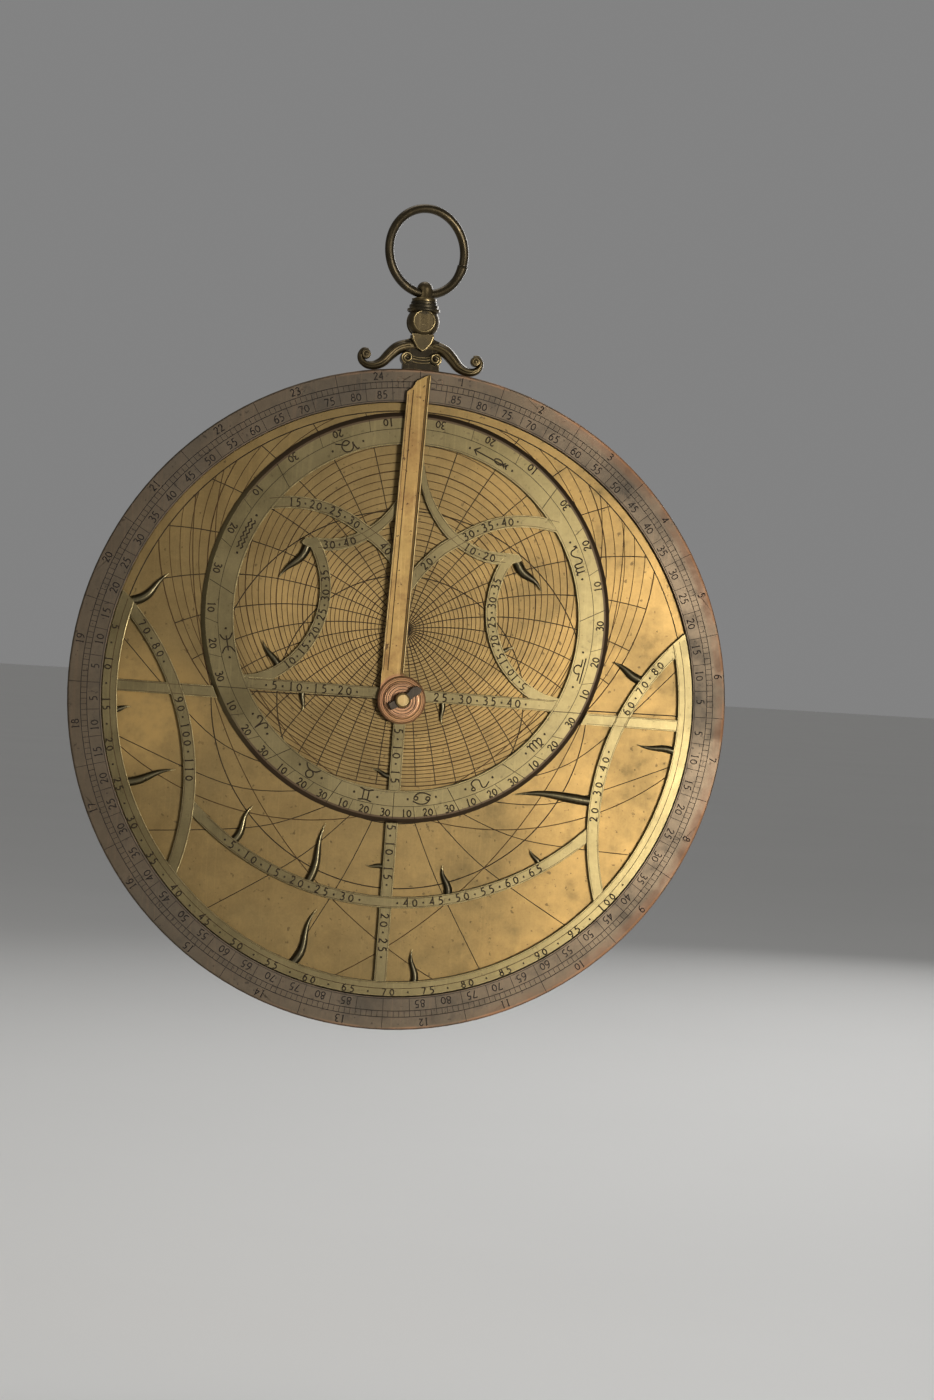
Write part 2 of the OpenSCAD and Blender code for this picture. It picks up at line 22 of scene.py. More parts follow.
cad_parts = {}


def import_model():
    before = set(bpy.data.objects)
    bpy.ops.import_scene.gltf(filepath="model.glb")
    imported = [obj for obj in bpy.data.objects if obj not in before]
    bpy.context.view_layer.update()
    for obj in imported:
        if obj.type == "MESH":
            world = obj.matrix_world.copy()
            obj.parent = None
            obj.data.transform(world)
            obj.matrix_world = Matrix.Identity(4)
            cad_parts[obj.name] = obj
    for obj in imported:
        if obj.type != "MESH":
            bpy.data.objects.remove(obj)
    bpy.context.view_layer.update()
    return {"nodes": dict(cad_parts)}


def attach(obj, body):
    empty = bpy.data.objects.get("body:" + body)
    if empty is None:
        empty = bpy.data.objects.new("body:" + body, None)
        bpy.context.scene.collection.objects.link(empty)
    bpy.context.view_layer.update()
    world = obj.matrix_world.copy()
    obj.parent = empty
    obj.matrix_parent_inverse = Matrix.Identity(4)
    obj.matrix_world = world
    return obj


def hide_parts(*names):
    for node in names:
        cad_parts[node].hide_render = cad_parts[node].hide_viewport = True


LOG = logging.getLogger("astrolabe")

Point = tuple[float, float]
Path = list[Point]
Stroke = tuple[Path, Sequence[float], bool]
Shade = tuple[int, int, int]
Piece = bpy.types.Object
Socket = bpy.types.NodeSocket
Sockets = bpy.types.bpy_prop_collection

MM = 0.001
SIDES = (-1, 1)
PIVOT = (0.0, 0.0)


class Facing(Enum):
    """Which way an engraved face looks."""

    FRONT = -1
    BACK = 1


@dataclass(frozen=True)
class Layout:
    """Driving sizes of the solids, in millimetres and degrees, as the CAD source has them."""

    pivot_z: float = -147.45
    limb_y: float = -2.5
    back_y: float = 2.5
    tympan_y: float = -1.2
    rete_back_y: float = -1.3
    rete_y: float = -2.5
    rule_y: float = -3.92
    boss_y: float = -4.32
    washer_y: float = -5.07
    alidade_y: float = 5.1
    rete_turn: float = 0.9
    rule_turn: float = 1.8
    ecliptic_up: float = 24.9
    ecliptic_in_r: float = 52.4
    ecliptic_flat_r: float = 60.8
    rim_in_r: float = 85.3
    rim_middle_r: float = 87.5
    bar_w: float = 3.5


@dataclass(frozen=True)
class Sky:
    """The projection that the latitude plate and star map share."""

    latitude: float = radians(49.0)
    obliquity: float = radians(23.44)
    equator_r: float = 57.2
    capricorn_r: float = 87.3
    cancer_r: float = 37.5

    @property
    def horizon(self) -> tuple[float, float]:
        """How far above the pivot the horizon's centre is, and its radius."""
        return self.equator_r / tan(self.latitude), self.equator_r / sin(self.latitude)

    def from_altazimuth(self, altitude: float, azimuth: float) -> Point:
        """Projects a place in the sky on the plate.

        Args:
            altitude: Degrees above the horizon.
            azimuth: Degrees from north, through the left of the plate.

        Returns:
            The point on the plate.
        """
        alt, azi, lat = radians(altitude), radians(azimuth), self.latitude
        north, east, up = cos(alt) * cos(azi), cos(alt) * sin(azi), sin(alt)
        reach = self.equator_r / (1.0 + north * cos(lat) + up * sin(lat))
        return (-east * reach, (up * cos(lat) - north * sin(lat)) * reach)

    def ecliptic_turn(self, longitude: float) -> float:
        """Degrees from the top, to the left, at which a longitude stands."""
        lon = radians(longitude)
        return degrees(atan2(cos(self.obliquity) * sin(lon), cos(lon))) - 270.0


LAYOUT = Layout()
SKY = Sky()


def row_point(at: Point) -> Vector:
    """A point of a drawing, in the row frame's metres."""
    return Vector((at[0] * MM, 0.0, (at[1] + LAYOUT.pivot_z) * MM))


def polar(radius: float, angle: float, centre: Point = PIVOT) -> Point:
    """A point at a radius and an angle in degrees, anticlockwise from the right."""
    turn = radians(angle)
    return (centre[0] + radius * cos(turn), centre[1] + radius * sin(turn))


def arc_path(centre: Point, radius: float, start: float, end: float, step: float = 3.0) -> Path:
    """Points along an arc.

    Args:
        centre: Its centre.
        radius: Its radius.
        start: First angle in degrees, anticlockwise from the right.
        end: Last angle, which may be the lesser.
        step: Largest step between points.

    Returns:
        The points, both ends included.
    """
    count = max(1, ceil(abs(end - start) / step))
    return [polar(radius, start + (end - start) * i / count, centre) for i in range(count + 1)]


def oval(cx: float, cy: float, rx: float, ry: float, count: int, start: float = 0, end: float = 360) -> Path:
    """Points along an ellipse or a part of one, angles in degrees."""
    turns = [radians(start + (end - start) * i / count) for i in range(count + 1)]
    return [(cx + rx * cos(t), cy + ry * sin(t)) for t in turns]


def smooth(points: Sequence[Point], steps: int) -> Path:
    """A smooth path through points, by Catmull-Rom blending.

    Args:
        points: The points.
        steps: Steps from each point to the next.

    Returns:
        The path, both ends included.
    """
    last = len(points) - 1
    path: Path = []
    for i in range(last):
        knots = zip(points[max(i - 1, 0)], points[i], points[i + 1], points[min(i + 2, last)])
        bends = [(q, r - p, 2 * p - 5 * q + 4 * r - s, 3 * q - p - 3 * r + s) for p, q, r, s in knots]
        for t in (k / steps for k in range(steps)):
            path.append(tuple(0.5 * (2 * a + b * t + c * t * t + d * t ** 3) for a, b, c, d in bends))
    return path + [tuple(points[last])]


def mirrored(points: Iterable[Point]) -> Path:
    """The same path on the other side of the upright axis."""
    return [(-u, v) for u, v in points]


def both_ends(half: Path) -> Path:
    """A profile for turning that has the same half at both ends."""
    return half + [(radius, -y) for radius, y in reversed(half)]


def runs_inside(points: Path, radius: float, shortest: float = 0.05) -> list[Path]:
    """Cuts a path to the stretches inside a circle about the pivot.

    Args:
        points: The path.
        radius: The circle's radius.
        shortest: Short stretches with ends no further apart than this are dropped.

    Returns:
        The stretches, each ended at the circle.
    """
    runs: list[Path] = []
    current: Path = []
    for a, b in zip(points, points[1:]):
        fa, fb = radius - hypot(*a), radius - hypot(*b)
        if fa >= 0 and not current:
            current = [a]
        if (fa >= 0) != (fb >= 0):
            t = fa / (fa - fb)
            cross = (a[0] + (b[0] - a[0]) * t, a[1] + (b[1] - a[1]) * t)
            if fa >= 0:
                runs.append(current + [cross])
            current = [] if fa >= 0 else [cross, b]
        elif fb >= 0:
            current.append(b)
    if len(current) > 1:
        runs.append(current)
    return [run for run in runs if dist(run[0], run[-1]) > shortest or len(run) > 4]


def offset_path(path: Path, distance: float) -> Path:
    """A path beside another.

    Args:
        path: The other path.
        distance: How far to its left, in millimetres.

    Returns:
        The new path.
    """
    result: Path = []
    for i, (u, v) in enumerate(path):
        (u0, v0), (u1, v1) = path[max(i - 1, 0)], path[min(i + 1, len(path) - 1)]
        length = hypot(u1 - u0, v1 - v0)
        result.append((u - (v1 - v0) / length * distance, v + (u1 - u0) / length * distance))
    return result


def _numerals() -> dict[str, list[Path]]:
    """Strokes of numerals and a dot, each in a cell 0.6 wide and 1 high.

    Returns:
        The strokes of each sign.
    """
    six = [oval(0.3, 0.29, 0.25, 0.29, 16), smooth([(0.06, 0.36), (0.1, 0.62), (0.26, 0.88), (0.5, 1)], 3)]
    return {
        "0": [oval(0.3, 0.44, 0.27, 0.42, 18)],
        "1": [[(0.3, 0), (0.3, 0.94), (0.2, 0.84)], [(0.18, 0), (0.42, 0)]],
        "2": [smooth([(0.06, 0.76), (0.16, 0.94), (0.36, 0.96), (0.5, 0.78), (0.42, 0.52), (0.05, 0.03)], 3),
              [(0.05, 0.03), (0.32, 0.08), (0.57, 0.02)]],
        "3": [smooth([(0.08, 0.9), (0.3, 0.98), (0.5, 0.84), (0.42, 0.6), (0.24, 0.52)], 3),
              smooth([(0.24, 0.52), (0.5, 0.44), (0.54, 0.2), (0.34, -0.02), (0.04, 0.04)], 3)],
        "4": [[(0.44, 0), (0.44, 0.96), (0.04, 0.32), (0.58, 0.32)]],
        "5": [[(0.52, 0.98), (0.18, 0.94), (0.12, 0.54)],
              smooth([(0.12, 0.54), (0.36, 0.58), (0.52, 0.36), (0.4, 0.06), (0.06, 0)], 3)],
        "6": six,
        "7": [smooth([(0.06, 0.84), (0.1, 0.94), (0.55, 0.92)], 2), [(0.55, 0.92), (0.2, -0.02)]],
        "8": [oval(0.3, 0.72, 0.19, 0.23, 14), oval(0.3, 0.25, 0.25, 0.25, 16)],
        "9": [[(0.6 - u, 0.98 - v) for u, v in stroke] for stroke in six],
        ".": [oval(0.3, 0.42, 0.06, 0.06, 6)],
        " ": [],
    }


def _signs() -> list[list[Path]]:
    """The twelve traditional signs, from the Ram on, in millimetres about their middles.

    Returns:
        The strokes of each sign.
    """
    horn = smooth([(0, -1.9), (-0.2, 0.3), (-0.7, 1.5), (-1.5, 1.8), (-2.2, 1.1), (-1.7, 0.4)], 4)
    crab = [oval(-1.8, 0.2, 0.6, 0.55, 12), smooth([(-2.4, 0.5), (-1.1, 1.6), (0.9, 1.6), (2.8, 0.6)], 4)]
    stem = [(-2.6, 0.9), (-2.3, 1.3), (-1.9, 0.9), (-1.9, -1.4)]
    middle = [(-1.9, 0.6), (-1.2, 1.3), (-0.6, 0.9), (-0.6, -1.4)]
    wave = smooth([(-4.8 + 0.8 * i, 0.3 if i % 2 else -0.3) for i in range(13)], 2)
    fish = smooth([(-2.9, 1.9), (-1.4, 1), (-1.1, 0), (-1.4, -1), (-2.9, -1.9)], 4)
    fletching = [[(u - 0.8, side), (u, 0)] for u in (-3.9, -4.7) for side in (-0.8, 0.8)]
    return [
        [horn, mirrored(horn)],
        [oval(0, -0.7, 1.15, 1.15, 20),
         smooth([(-2.4, 1.8), (-1.5, 0.8), (0, 0.45), (1.5, 0.8), (2.4, 1.8)], 4)],
        [[(-0.8, -1.5), (-0.8, 1.5)], [(0.8, -1.5), (0.8, 1.5)],
         *(smooth([(-2.1, side * 1.8), (0, side * 1.4), (2.1, side * 1.8)], 4) for side in (1, -1))],
        crab + [[(-u, -v) for u, v in stroke] for stroke in crab],
        [oval(-2.3, -0.9, 0.55, 0.5, 12),
         smooth([(-1.9, -0.5), (-2.3, 0.8), (-1.1, 1.6), (0.3, 1.1), (0.4, -0.3), (0.5, -1.4), (1.5, -1.6),
                 (3, -0.6)], 4)],
        [stem, middle, [(-0.6, 0.6), (0.1, 1.3), (0.7, 0.8), (0.7, -1.2), (1.7, -1.9)],
         smooth([(0.7, 0.2), (1.6, 0.8), (2.1, -0.2), (1.2, -1.4), (0.4, -1.9)], 4)],
        [[(-4, -1.5), (4, -1.3)], [(-3.4, -0.5), (-1.1, -0.5)], [(1.1, -0.4), (3.4, -0.4)],
         oval(0, 0.35, 1.35, 1.2, 16, -46, 226)],
        [[(u - 1.8, v) for u, v in stem], [(u - 1.8, v) for u, v in middle],
         smooth([(-2.4, 0.5), (-1.7, 1.2), (-1.1, 0.7), (-1.1, -0.9), (-0.4, -1.5), (0.5, -0.9), (1.3, 0.4),
                 (2.2, 1.1), (3.2, 0.6), (3.5, -0.5), (4.3, -1.2)], 3),
         [(3.5, -1.3), (4.3, -1.2), (4.3, -0.4)]],
        [[(-5.4, 0), (5.8, 0)], [(4.4, 1.3), (5.8, 0), (4.4, -1.3)], oval(-2.4, 0, 1.4, 0.75, 16)] + fletching,
        [smooth([(-3.2, 1.4), (-2.6, 1.8), (-2, 0.6), (-1.8, -0.7)], 4),
         smooth([(-1.8, -0.7), (-1.4, 1.1), (-0.2, 1.9), (1.2, 1.5), (1.8, 0.1), (1.2, -1.2), (0, -1.6),
                 (-0.8, -0.8), (0.4, -0.2), (2, -1), (3.4, -1.7)], 4)],
        [[(u, v + rise) for u, v in wave] for rise in (0.6, -0.6)],
        [fish, mirrored(fish), [(-2.3, 0), (2.3, 0)]],
    ]


NUMERALS = _numerals()
SIGNS = _signs()


def srgb(shade: Shade) -> tuple[float, ...]:
    """A colour written as it looks on a screen, 0 to 255, made linear."""
    parts = (value / 255.0 for value in shade)
    return (*(part / 12.92 if part <= 0.04045 else ((part + 0.055) / 1.055) ** 2.4 for part in parts), 1.0)


class Graph:
    """A node tree being wired."""

    def __init__(self, tree: bpy.types.NodeTree) -> None:
        """Takes the tree to wire."""
        self.tree = tree

    def add(self, kind: str, *values: object, **settings: object) -> bpy.types.Node:
        """Adds a node.

        Args:
            kind: Blender's name of the node's type, without its first word.
            *values: A socket or a number for each input in turn.
            **settings: Properties to set on it.

        Returns:
            The node.
        """
        node = self.tree.nodes.new("ShaderNode" + kind)
        for name, value in settings.items():
            setattr(node, name, value)
        for socket, value in zip(node.inputs, values):
            self.feed(socket, value)
        return node

    def feed(self, target: Socket, value: object) -> None:
        """Links a socket to an input, or sets the input to a value.

        Args:
            target: The input.
            value: A socket, a number or a colour.
        """
        if isinstance(value, Socket):
            self.tree.links.new(value, target)
        else:
            target.default_value = value

    def math(self, operation: str, *values: object, clamp: bool = False) -> Socket:
        """Adds a Math node and returns its output."""
        return self.add("Math", *values, operation=operation, use_clamp=clamp).outputs[0]

    def times(self, *values: object) -> Socket:
        """Multiplies two values."""
        return self.math("MULTIPLY", *values)

    def plus(self, *values: object) -> Socket:
        """Adds two values."""
        return self.math("ADD", *values)

    def mix(self, factor: object, first: object, second: object, blend: str = "MIX") -> Socket:
        """Mixes two colours, which are the Mix node's inputs 6 and 7, and its output 2.

        Args:
            factor: The share of the second.
            first: A colour or a socket.
            second: Another.
            blend: The way they are blended.

        Returns:
            The mixed colour.
        """
        node = self.add("Mix", factor, data_type="RGBA", blend_type=blend)
        self.feed(node.inputs[6], first)
        self.feed(node.inputs[7], second)
        return node.outputs[2]

    def ramp(self, value: object, low: float, high: float, at_low: float = 0.0, at_high: float = 1.0) -> Socket:
        """Changes smoothly from one value to another between two levels of its input."""
        levels = (value, low, high, at_low, at_high)
        return self.add("MapRange", *levels, interpolation_type="SMOOTHSTEP").outputs[0]

    def place(self) -> Socket:
        """Object coordinates."""
        return self.add("TexCoord").outputs["Object"]

    def noise(self, scale: float, detail: float, rough: float, place: Socket | None = None) -> Socket:
        """Adds a Noise Texture node.

        Args:
            scale: Repeats per metre.
            detail: Number of octaves.
            rough: How strong the finer octaves are.
            place: Coordinates, by default the object's.

        Returns:
            The noise, 0 to 1.
        """
        node = self.add("TexNoise", place or self.place())
        for name, value in (("Scale", scale), ("Detail", detail), ("Roughness", rough)):
            self.feed(node.inputs[name], value)
        return node.outputs[0]

    def patches(self, scale: float, detail: float, rough: float, *levels: float) -> Socket:
        """Patches of noise: its scale, detail and roughness, and the levels and ends of a ramp."""
        return self.ramp(self.noise(scale, detail, rough), *levels)

    def across(self, left: float, right: float, at_left: float = 0.0, at_right: float = 1.0) -> Socket:
        """A smooth change between two places across the drawing, in millimetres."""
        split = self.add("SeparateXYZ", self.place())
        return self.ramp(split.outputs["X"], left * MM, right * MM, at_left, at_right)

    def off_axis(self, centre: Point) -> Socket:
        """Wires the distance from an axis along Y.

        Args:
            centre: Where the axis passes, in the drawing.

        Returns:
            The distance in metres.
        """
        shift = self.add("VectorMath", self.place(), row_point(centre), operation="SUBTRACT").outputs[0]
        flat = self.add("VectorMath", shift, (1.0, 0.0, 1.0), operation="MULTIPLY").outputs[0]
        return self.add("VectorMath", flat, operation="LENGTH").outputs["Value"]


class SharedGroup:
    """A shader node group that is built once."""

    label = "group"
    inputs: tuple[tuple[str, str], ...] = ()
    outputs: tuple[tuple[str, str], ...] = ()

    def tree(self) -> bpy.types.NodeTree:
        """Finds the group's tree, or builds it on first use.

        Returns:
            The tree.
        """
        tree = bpy.data.node_groups.get(self.label)
        if tree is None:
            tree = bpy.data.node_groups.new(self.label, "ShaderNodeTree")
            for way, sockets in (("INPUT", self.inputs), ("OUTPUT", self.outputs)):
                for name, kind in sockets:
                    tree.interface.new_socket(name, in_out=way, socket_type="NodeSocket" + kind)
            given, made = (tree.nodes.new(kind) for kind in ("NodeGroupInput", "NodeGroupOutput"))
            self.wire(Graph(tree), given.outputs, made.inputs)
        return tree

    def wire(self, graph: Graph, given: Sockets, made: Sockets) -> None:
        """Wires the group's inside, from what is given to what is made."""
        raise NotImplementedError

    def place(self, graph: Graph, *values: object) -> Sockets:
        """Places the group in a material's graph with its input values, and returns its outputs."""
        return graph.add("Group", *values, node_tree=self.tree()).outputs


class Patina(SharedGroup):
    """Cloudy tarnish, specks and small stains over clean metal."""

    label = "patina"
    inputs = (("Clean", "Color"), ("Tarnish", "Color"), ("Stain", "Color"), ("Clouds", "Float"),
              ("Specks", "Float"))
    outputs = (("Color", "Color"), ("Mask", "Float"), ("Height", "Float"))
    blotch_part: float = 0.55
    darkest: float = 0.74
    grain_part: float = 0.26

    def wire(self, graph: Graph, given: Sockets, made: Sockets) -> None:
        """Wires tarnish in clouds and blotches, specks of stain, and a grain over all of it.

        Args:
            graph: The group's graph.
            given: The group's inputs.
            made: The group's outputs.
        """
        clouds = graph.patches(24.0, 6.0, 0.6, 0.38, 0.68)
        blotches = graph.patches(150.0, 5.0, 0.65, 0.46, 0.72)
        specks = graph.patches(620.0, 2.0, 0.5, 0.66, 0.74)
        mottle = graph.patches(95.0, 6.0, 0.72, 0.3, 0.7)
        grain = graph.noise(1500.0, 3.0, 0.7)
        cloudy = graph.times(clouds, given["Clouds"])
        blotchy = graph.times(blotches, graph.times(given["Clouds"], self.blotch_part))
        mask = graph.math("ADD", cloudy, blotchy, clamp=True)
        aged = graph.mix(mask, given["Clean"], given["Tarnish"])
        stained = graph.mix(graph.times(specks, given["Specks"]), aged, given["Stain"])
        shade = graph.plus(self.darkest, graph.times(grain, self.grain_part))
        shade = graph.plus(shade, graph.times(mottle, self.grain_part))
        tone = graph.add("CombineColor", shade, shade, shade).outputs[0]
        graph.feed(made["Color"], graph.mix(1.0, stained, tone, "MULTIPLY"))
        graph.feed(made["Mask"], mask)
        graph.feed(made["Height"], graph.math("SUBTRACT", graph.times(grain, 0.5), graph.times(specks, 0.8)))


class Hairlines(SharedGroup):
    """Fine scratches of handling and polishing, in three directions."""

    label = "hairlines"
    inputs = (("Depth", "Float"),)
    outputs = (("Height", "Float"), ("Mask", "Float"))
    directions: tuple[float, ...] = (12.0, 68.0, 131.0)
    drawn_out: tuple[float, float, float] = (1.0, 1.0, 0.025)

    def wire(self, graph: Graph, given: Sockets, made: Sockets) -> None:
        """Wires drawn-out noises.

        Args:
            graph: The group's graph.
            given: The group's inputs.
            made: The group's outputs.
        """
        total: object = 0.0
        for turn in self.directions:
            turned = (graph.place(), (0.0, 0.0, 0.0), (0.0, radians(turn), 0.0), self.drawn_out)
            streaks = graph.noise(900.0, 2.0, 0.6, graph.add("Mapping", *turned).outputs[0])
            total = graph.math("MAXIMUM", total, graph.ramp(streaks, 0.6, 0.7))
        mask = graph.times(total, given["Depth"])
        graph.feed(made["Mask"], mask)
        graph.feed(made["Height"], graph.times(mask, -1.0))


class EdgeWear(SharedGroup):
    """Finds edges, where handling rubs the metal bright."""

    label = "edge_wear"
    inputs = (("Amount", "Float"),)
    outputs = (("Mask", "Float"),)
    reach: float = 0.35 * MM

    def wire(self, graph: Graph, given: Sockets, made: Sockets) -> None:
        """Wires the difference between a rounded and the true normal, broken up by noise.

        Args:
            graph: The group's graph.
            given: The group's inputs.
            made: The group's outputs.
        """
        rounded = graph.add("Bevel", self.reach, samples=4).outputs[0]
        true = graph.add("NewGeometry").outputs["Normal"]
        dot = graph.add("VectorMath", rounded, true, operation="DOT_PRODUCT").outputs["Value"]
        edge = graph.ramp(graph.math("SUBTRACT", 1.0, dot), 0.02, 0.22)
        broken = graph.patches(420.0, 3.0, 0.6, 0.36, 0.62)
        graph.feed(made["Mask"], graph.math("MULTIPLY", graph.times(edge, broken), given["Amount"], clamp=True))


@dataclass(frozen=True)
class Zone:
    """A round band of a face in another colour; on the ecliptic ring it is painted shade.

    Attributes:
        centre: Middle of the band.
        inner: Radius from which it is full.
        outer: Radius at which it ends.
        colour: Its colour.
        blur: Width over which it begins and ends.
        broken: How far noise breaks it up, 0 to 1.
        side: Places across the drawing, left to right, between which it grows to full.
    """

    centre: Point
    inner: float
    outer: float
    colour: Shade
    blur: float
    broken: float = 0.0
    side: tuple[float, float] | None = None

    def mask(self, graph: Graph) -> Socket:
        """Wires how strong the zone is at each point.

        Args:
            graph: The material's graph.

        Returns:
            The strength, 0 to 1.
        """
        reach = graph.off_axis(self.centre)
        starts = graph.ramp(reach, (self.inner - self.blur) * MM, self.inner * MM)
        mask = graph.times(starts, graph.ramp(reach, self.outer * MM, (self.outer + self.blur) * MM, 1.0, 0.0))
        if self.side is not None:
            mask = graph.times(mask, graph.across(*self.side))
        if self.broken > 0.0:
            mask = graph.times(mask, graph.patches(75.0, 6.0, 0.72, 0.36, 0.62, 1.0 - self.broken, 1.0))
        return mask


@dataclass(frozen=True)
class Finish:
    """A procedural finish."""

    name: str

    def material(self) -> bpy.types.Material:
        """Finds the finish's material, or makes it on first use.

        Returns:
            The material.
        """
        material = bpy.data.materials.get(self.name)
        if material is None:
            material = bpy.data.materials.new(self.name)
            material.use_nodes = True
            nodes = material.node_tree.nodes
            self.wire(Graph(material.node_tree), next(n for n in nodes if n.type == "BSDF_PRINCIPLED").inputs)
        return material

    def wire(self, graph: Graph, shader: Sockets) -> None:
        """Wires the inputs of the material's shader."""
        raise NotImplementedError

    def dress(self, piece: Piece) -> None:
        """Gives this finish to every material slot of a piece.

        Args:
            piece: The piece, with slots or without.
        """
        if not piece.material_slots:
            piece.data.materials.append(self.material())
        for slot in piece.material_slots:
            slot.material = self.material()


@dataclass(frozen=True)
class MetalFinish(Finish):
    """An old metal: its colours when clean, tarnished, stained and worn, its ageing, its polish, and a painted
    shade that darkens its left side.
    """

    clean: Shade
    tarnish: Shade
    stain: Shade
    worn: Shade
    clouds: float
    specks: float
    scratches: float
    wear: float
    rough: float
    metallic: float
    duller_left: float = 0.0
    turned: bool = False
    zones: tuple[Zone, ...] = ()

    DULL_SPAN = (-12.0, 72.0)
    TARNISH_ROUGH = 0.18
    ZONE_ROUGH = 0.12
    SCRATCH_TONE = 0.35
    TURNING = 14000.0
    RELIEF = 0.25

    def wire(self, graph: Graph, shader: Sockets) -> None:
        """Wires painted shade towards the left, tarnish, scratches, worn edges, coloured zones and lathe marks.

        Args:
            graph: The material's graph.
            shader: The shader's inputs.
        """
        clean, tarnish, stain, worn = map(srgb, (self.clean, self.tarnish, self.stain, self.worn))
        # Painted shade: the clean colour turns towards tarnish on the left of the drawing, standing in for
        # light that falls from the right.
        left: object = clean
        if self.duller_left > 0.0:
            left = graph.mix(graph.across(*self.DULL_SPAN, self.duller_left, 0.0), clean, tarnish)
        patina = Patina().place(graph, left, tarnish, stain, self.clouds, self.specks)
        lines = Hairlines().place(graph, self.scratches)
        edges = EdgeWear().place(graph, self.wear)
        colour = graph.mix(graph.times(lines["Mask"], self.SCRATCH_TONE), patina["Color"], worn)
        colour = graph.mix(edges["Mask"], colour, worn)
        rough = graph.plus(self.rough, graph.times(patina["Mask"], self.TARNISH_ROUGH))
        height = graph.plus(patina["Height"], lines["Height"])
        for zone in self.zones:
            mask = zone.mask(graph)
            colour = graph.mix(mask, colour, srgb(zone.colour))
            rough = graph.plus(rough, graph.times(mask, self.ZONE_ROUGH))
        if self.turned:
            wave = graph.math("SINE", graph.times(graph.off_axis(PIVOT), self.TURNING))
            height = graph.plus(height, graph.times(wave, 0.5))
        bump = graph.add("Bump")
        for socket, value in ((bump.inputs["Strength"], self.RELIEF), (bump.inputs["Distance"], 0.05 * MM),
                              (bump.inputs["Height"], height), (shader["Base Color"], colour),
                              (shader["Roughness"], rough), (shader["Normal"], bump.outputs[0]),
                              (shader["Metallic"], self.metallic)):
            graph.feed(socket, value)


@dataclass(frozen=True)
class LineFinish(Finish):
    """Dirt and wax in an engraved line."""

    colour: Shade
    faded: Shade
    fade: float

    def wire(self, graph: Graph, shader: Sockets) -> None:
        """Wires a dull filling that has faded in patches.

        Args:
            graph: The material's graph.
            shader: The shader's inputs.
        """
        wear = graph.patches(90.0, 5.0, 0.65, 0.45, 0.75, 0.0, self.fade)
        graph.feed(shader["Base Color"], graph.mix(wear, srgb(self.colour), srgb(self.faded)))
        graph.feed(shader["Roughness"], graph.plus(0.7, graph.times(wear, -0.2)))
        graph.feed(shader["Specular IOR Level"], 0.15)


@dataclass(frozen=True)
class FloorFinish(Finish):
    """Matt pale paint."""

    def wire(self, graph: Graph, shader: Sockets) -> None:
        """Wires two tones that hardly differ.

        Args:
            graph: The material's graph.
            shader: The shader's inputs.
        """
        tones = srgb((226, 225, 222)), srgb((232, 231, 228))
        graph.feed(shader["Base Color"], graph.mix(graph.noise(3.0, 5.0, 0.55), *tones))
        graph.feed(shader["Roughness"], 0.8)


# Painted shade: the limb, tympan and rete finishes darken towards their left sides, and the ecliptic ring takes
# the same from the rete.
LIMB_BRASS = MetalFinish(
    "aged_limb_brass", clean=(100, 85, 66), tarnish=(71, 63, 52), stain=(38, 33, 27), worn=(150, 114, 86),
    clouds=0.8, specks=0.6, scratches=0.15, wear=0.6, rough=0.42, metallic=0.85, duller_left=0.5,
    zones=(Zone(PIVOT, 98.2, 101.0, (114, 89, 69), blur=2.0, broken=0.85, side=(10.0, 75.0)),
           Zone(PIVOT, 99.3, 101.0, (146, 108, 78), blur=0.5, broken=0.95, side=(-60.0, 60.0))))
PLATE_BRASS = MetalFinish(
    "aged_plate_brass", clean=(154, 124, 76), tarnish=(114, 92, 58), stain=(64, 50, 32), worn=(196, 160, 104),
    clouds=0.6, specks=0.55, scratches=0.35, wear=0.4, rough=0.38, metallic=0.9)
# Its two zones are lighter warm patches on the left half of the plate.
TYMPAN_BRASS = MetalFinish(
    "aged_tympan_brass", clean=(141, 112, 64), tarnish=(97, 81, 50), stain=(60, 47, 29), worn=(176, 146, 92),
    clouds=0.6, specks=0.65, scratches=0.1, wear=0.1, rough=0.4, metallic=0.88, duller_left=0.75,
    zones=(Zone((-76.0, -8.0), 0.0, 6.0, (142, 115, 68), blur=20.0, broken=0.7),
           Zone((-26.0, 22.0), 0.0, 12.0, (142, 116, 71), blur=16.0, broken=0.6)))
RETE_BRASS = MetalFinish(
    "aged_rete_brass", clean=(132, 116, 76), tarnish=(96, 85, 58), stain=(58, 48, 32), worn=(210, 188, 130),
    clouds=0.5, specks=0.35, scratches=0.08, wear=0.9, rough=0.33, metallic=0.92, duller_left=0.85)
# Painted shade: a dark band over the ring's outer bevel, full from a little left of the middle round to the
# right, fading out on the far left.
ECLIPTIC_BRASS = replace(
    RETE_BRASS, name="aged_ecliptic_brass",
    zones=(Zone(polar(LAYOUT.ecliptic_up, 90.0 - LAYOUT.rete_turn), LAYOUT.ecliptic_flat_r - 0.5, 66.0,
                (72, 58, 42), blur=0.15, side=(-58.0, -42.0)),))
POINTER_BRASS = MetalFinish(
    "aged_pointer_brass", clean=(106, 96, 69), tarnish=(58, 52, 39), stain=(28, 24, 19), worn=(206, 186, 132),
    clouds=0.9, specks=0.4, scratches=0.2, wear=1.0, rough=0.27, metallic=0.92)
THRONE_BRONZE = MetalFinish(
    "aged_throne_bronze", clean=(96, 82, 55), tarnish=(62, 53, 37), stain=(32, 27, 20), worn=(184, 160, 112),
    clouds=0.85, specks=0.5, scratches=0.25, wear=0.9, rough=0.3, metallic=0.92)
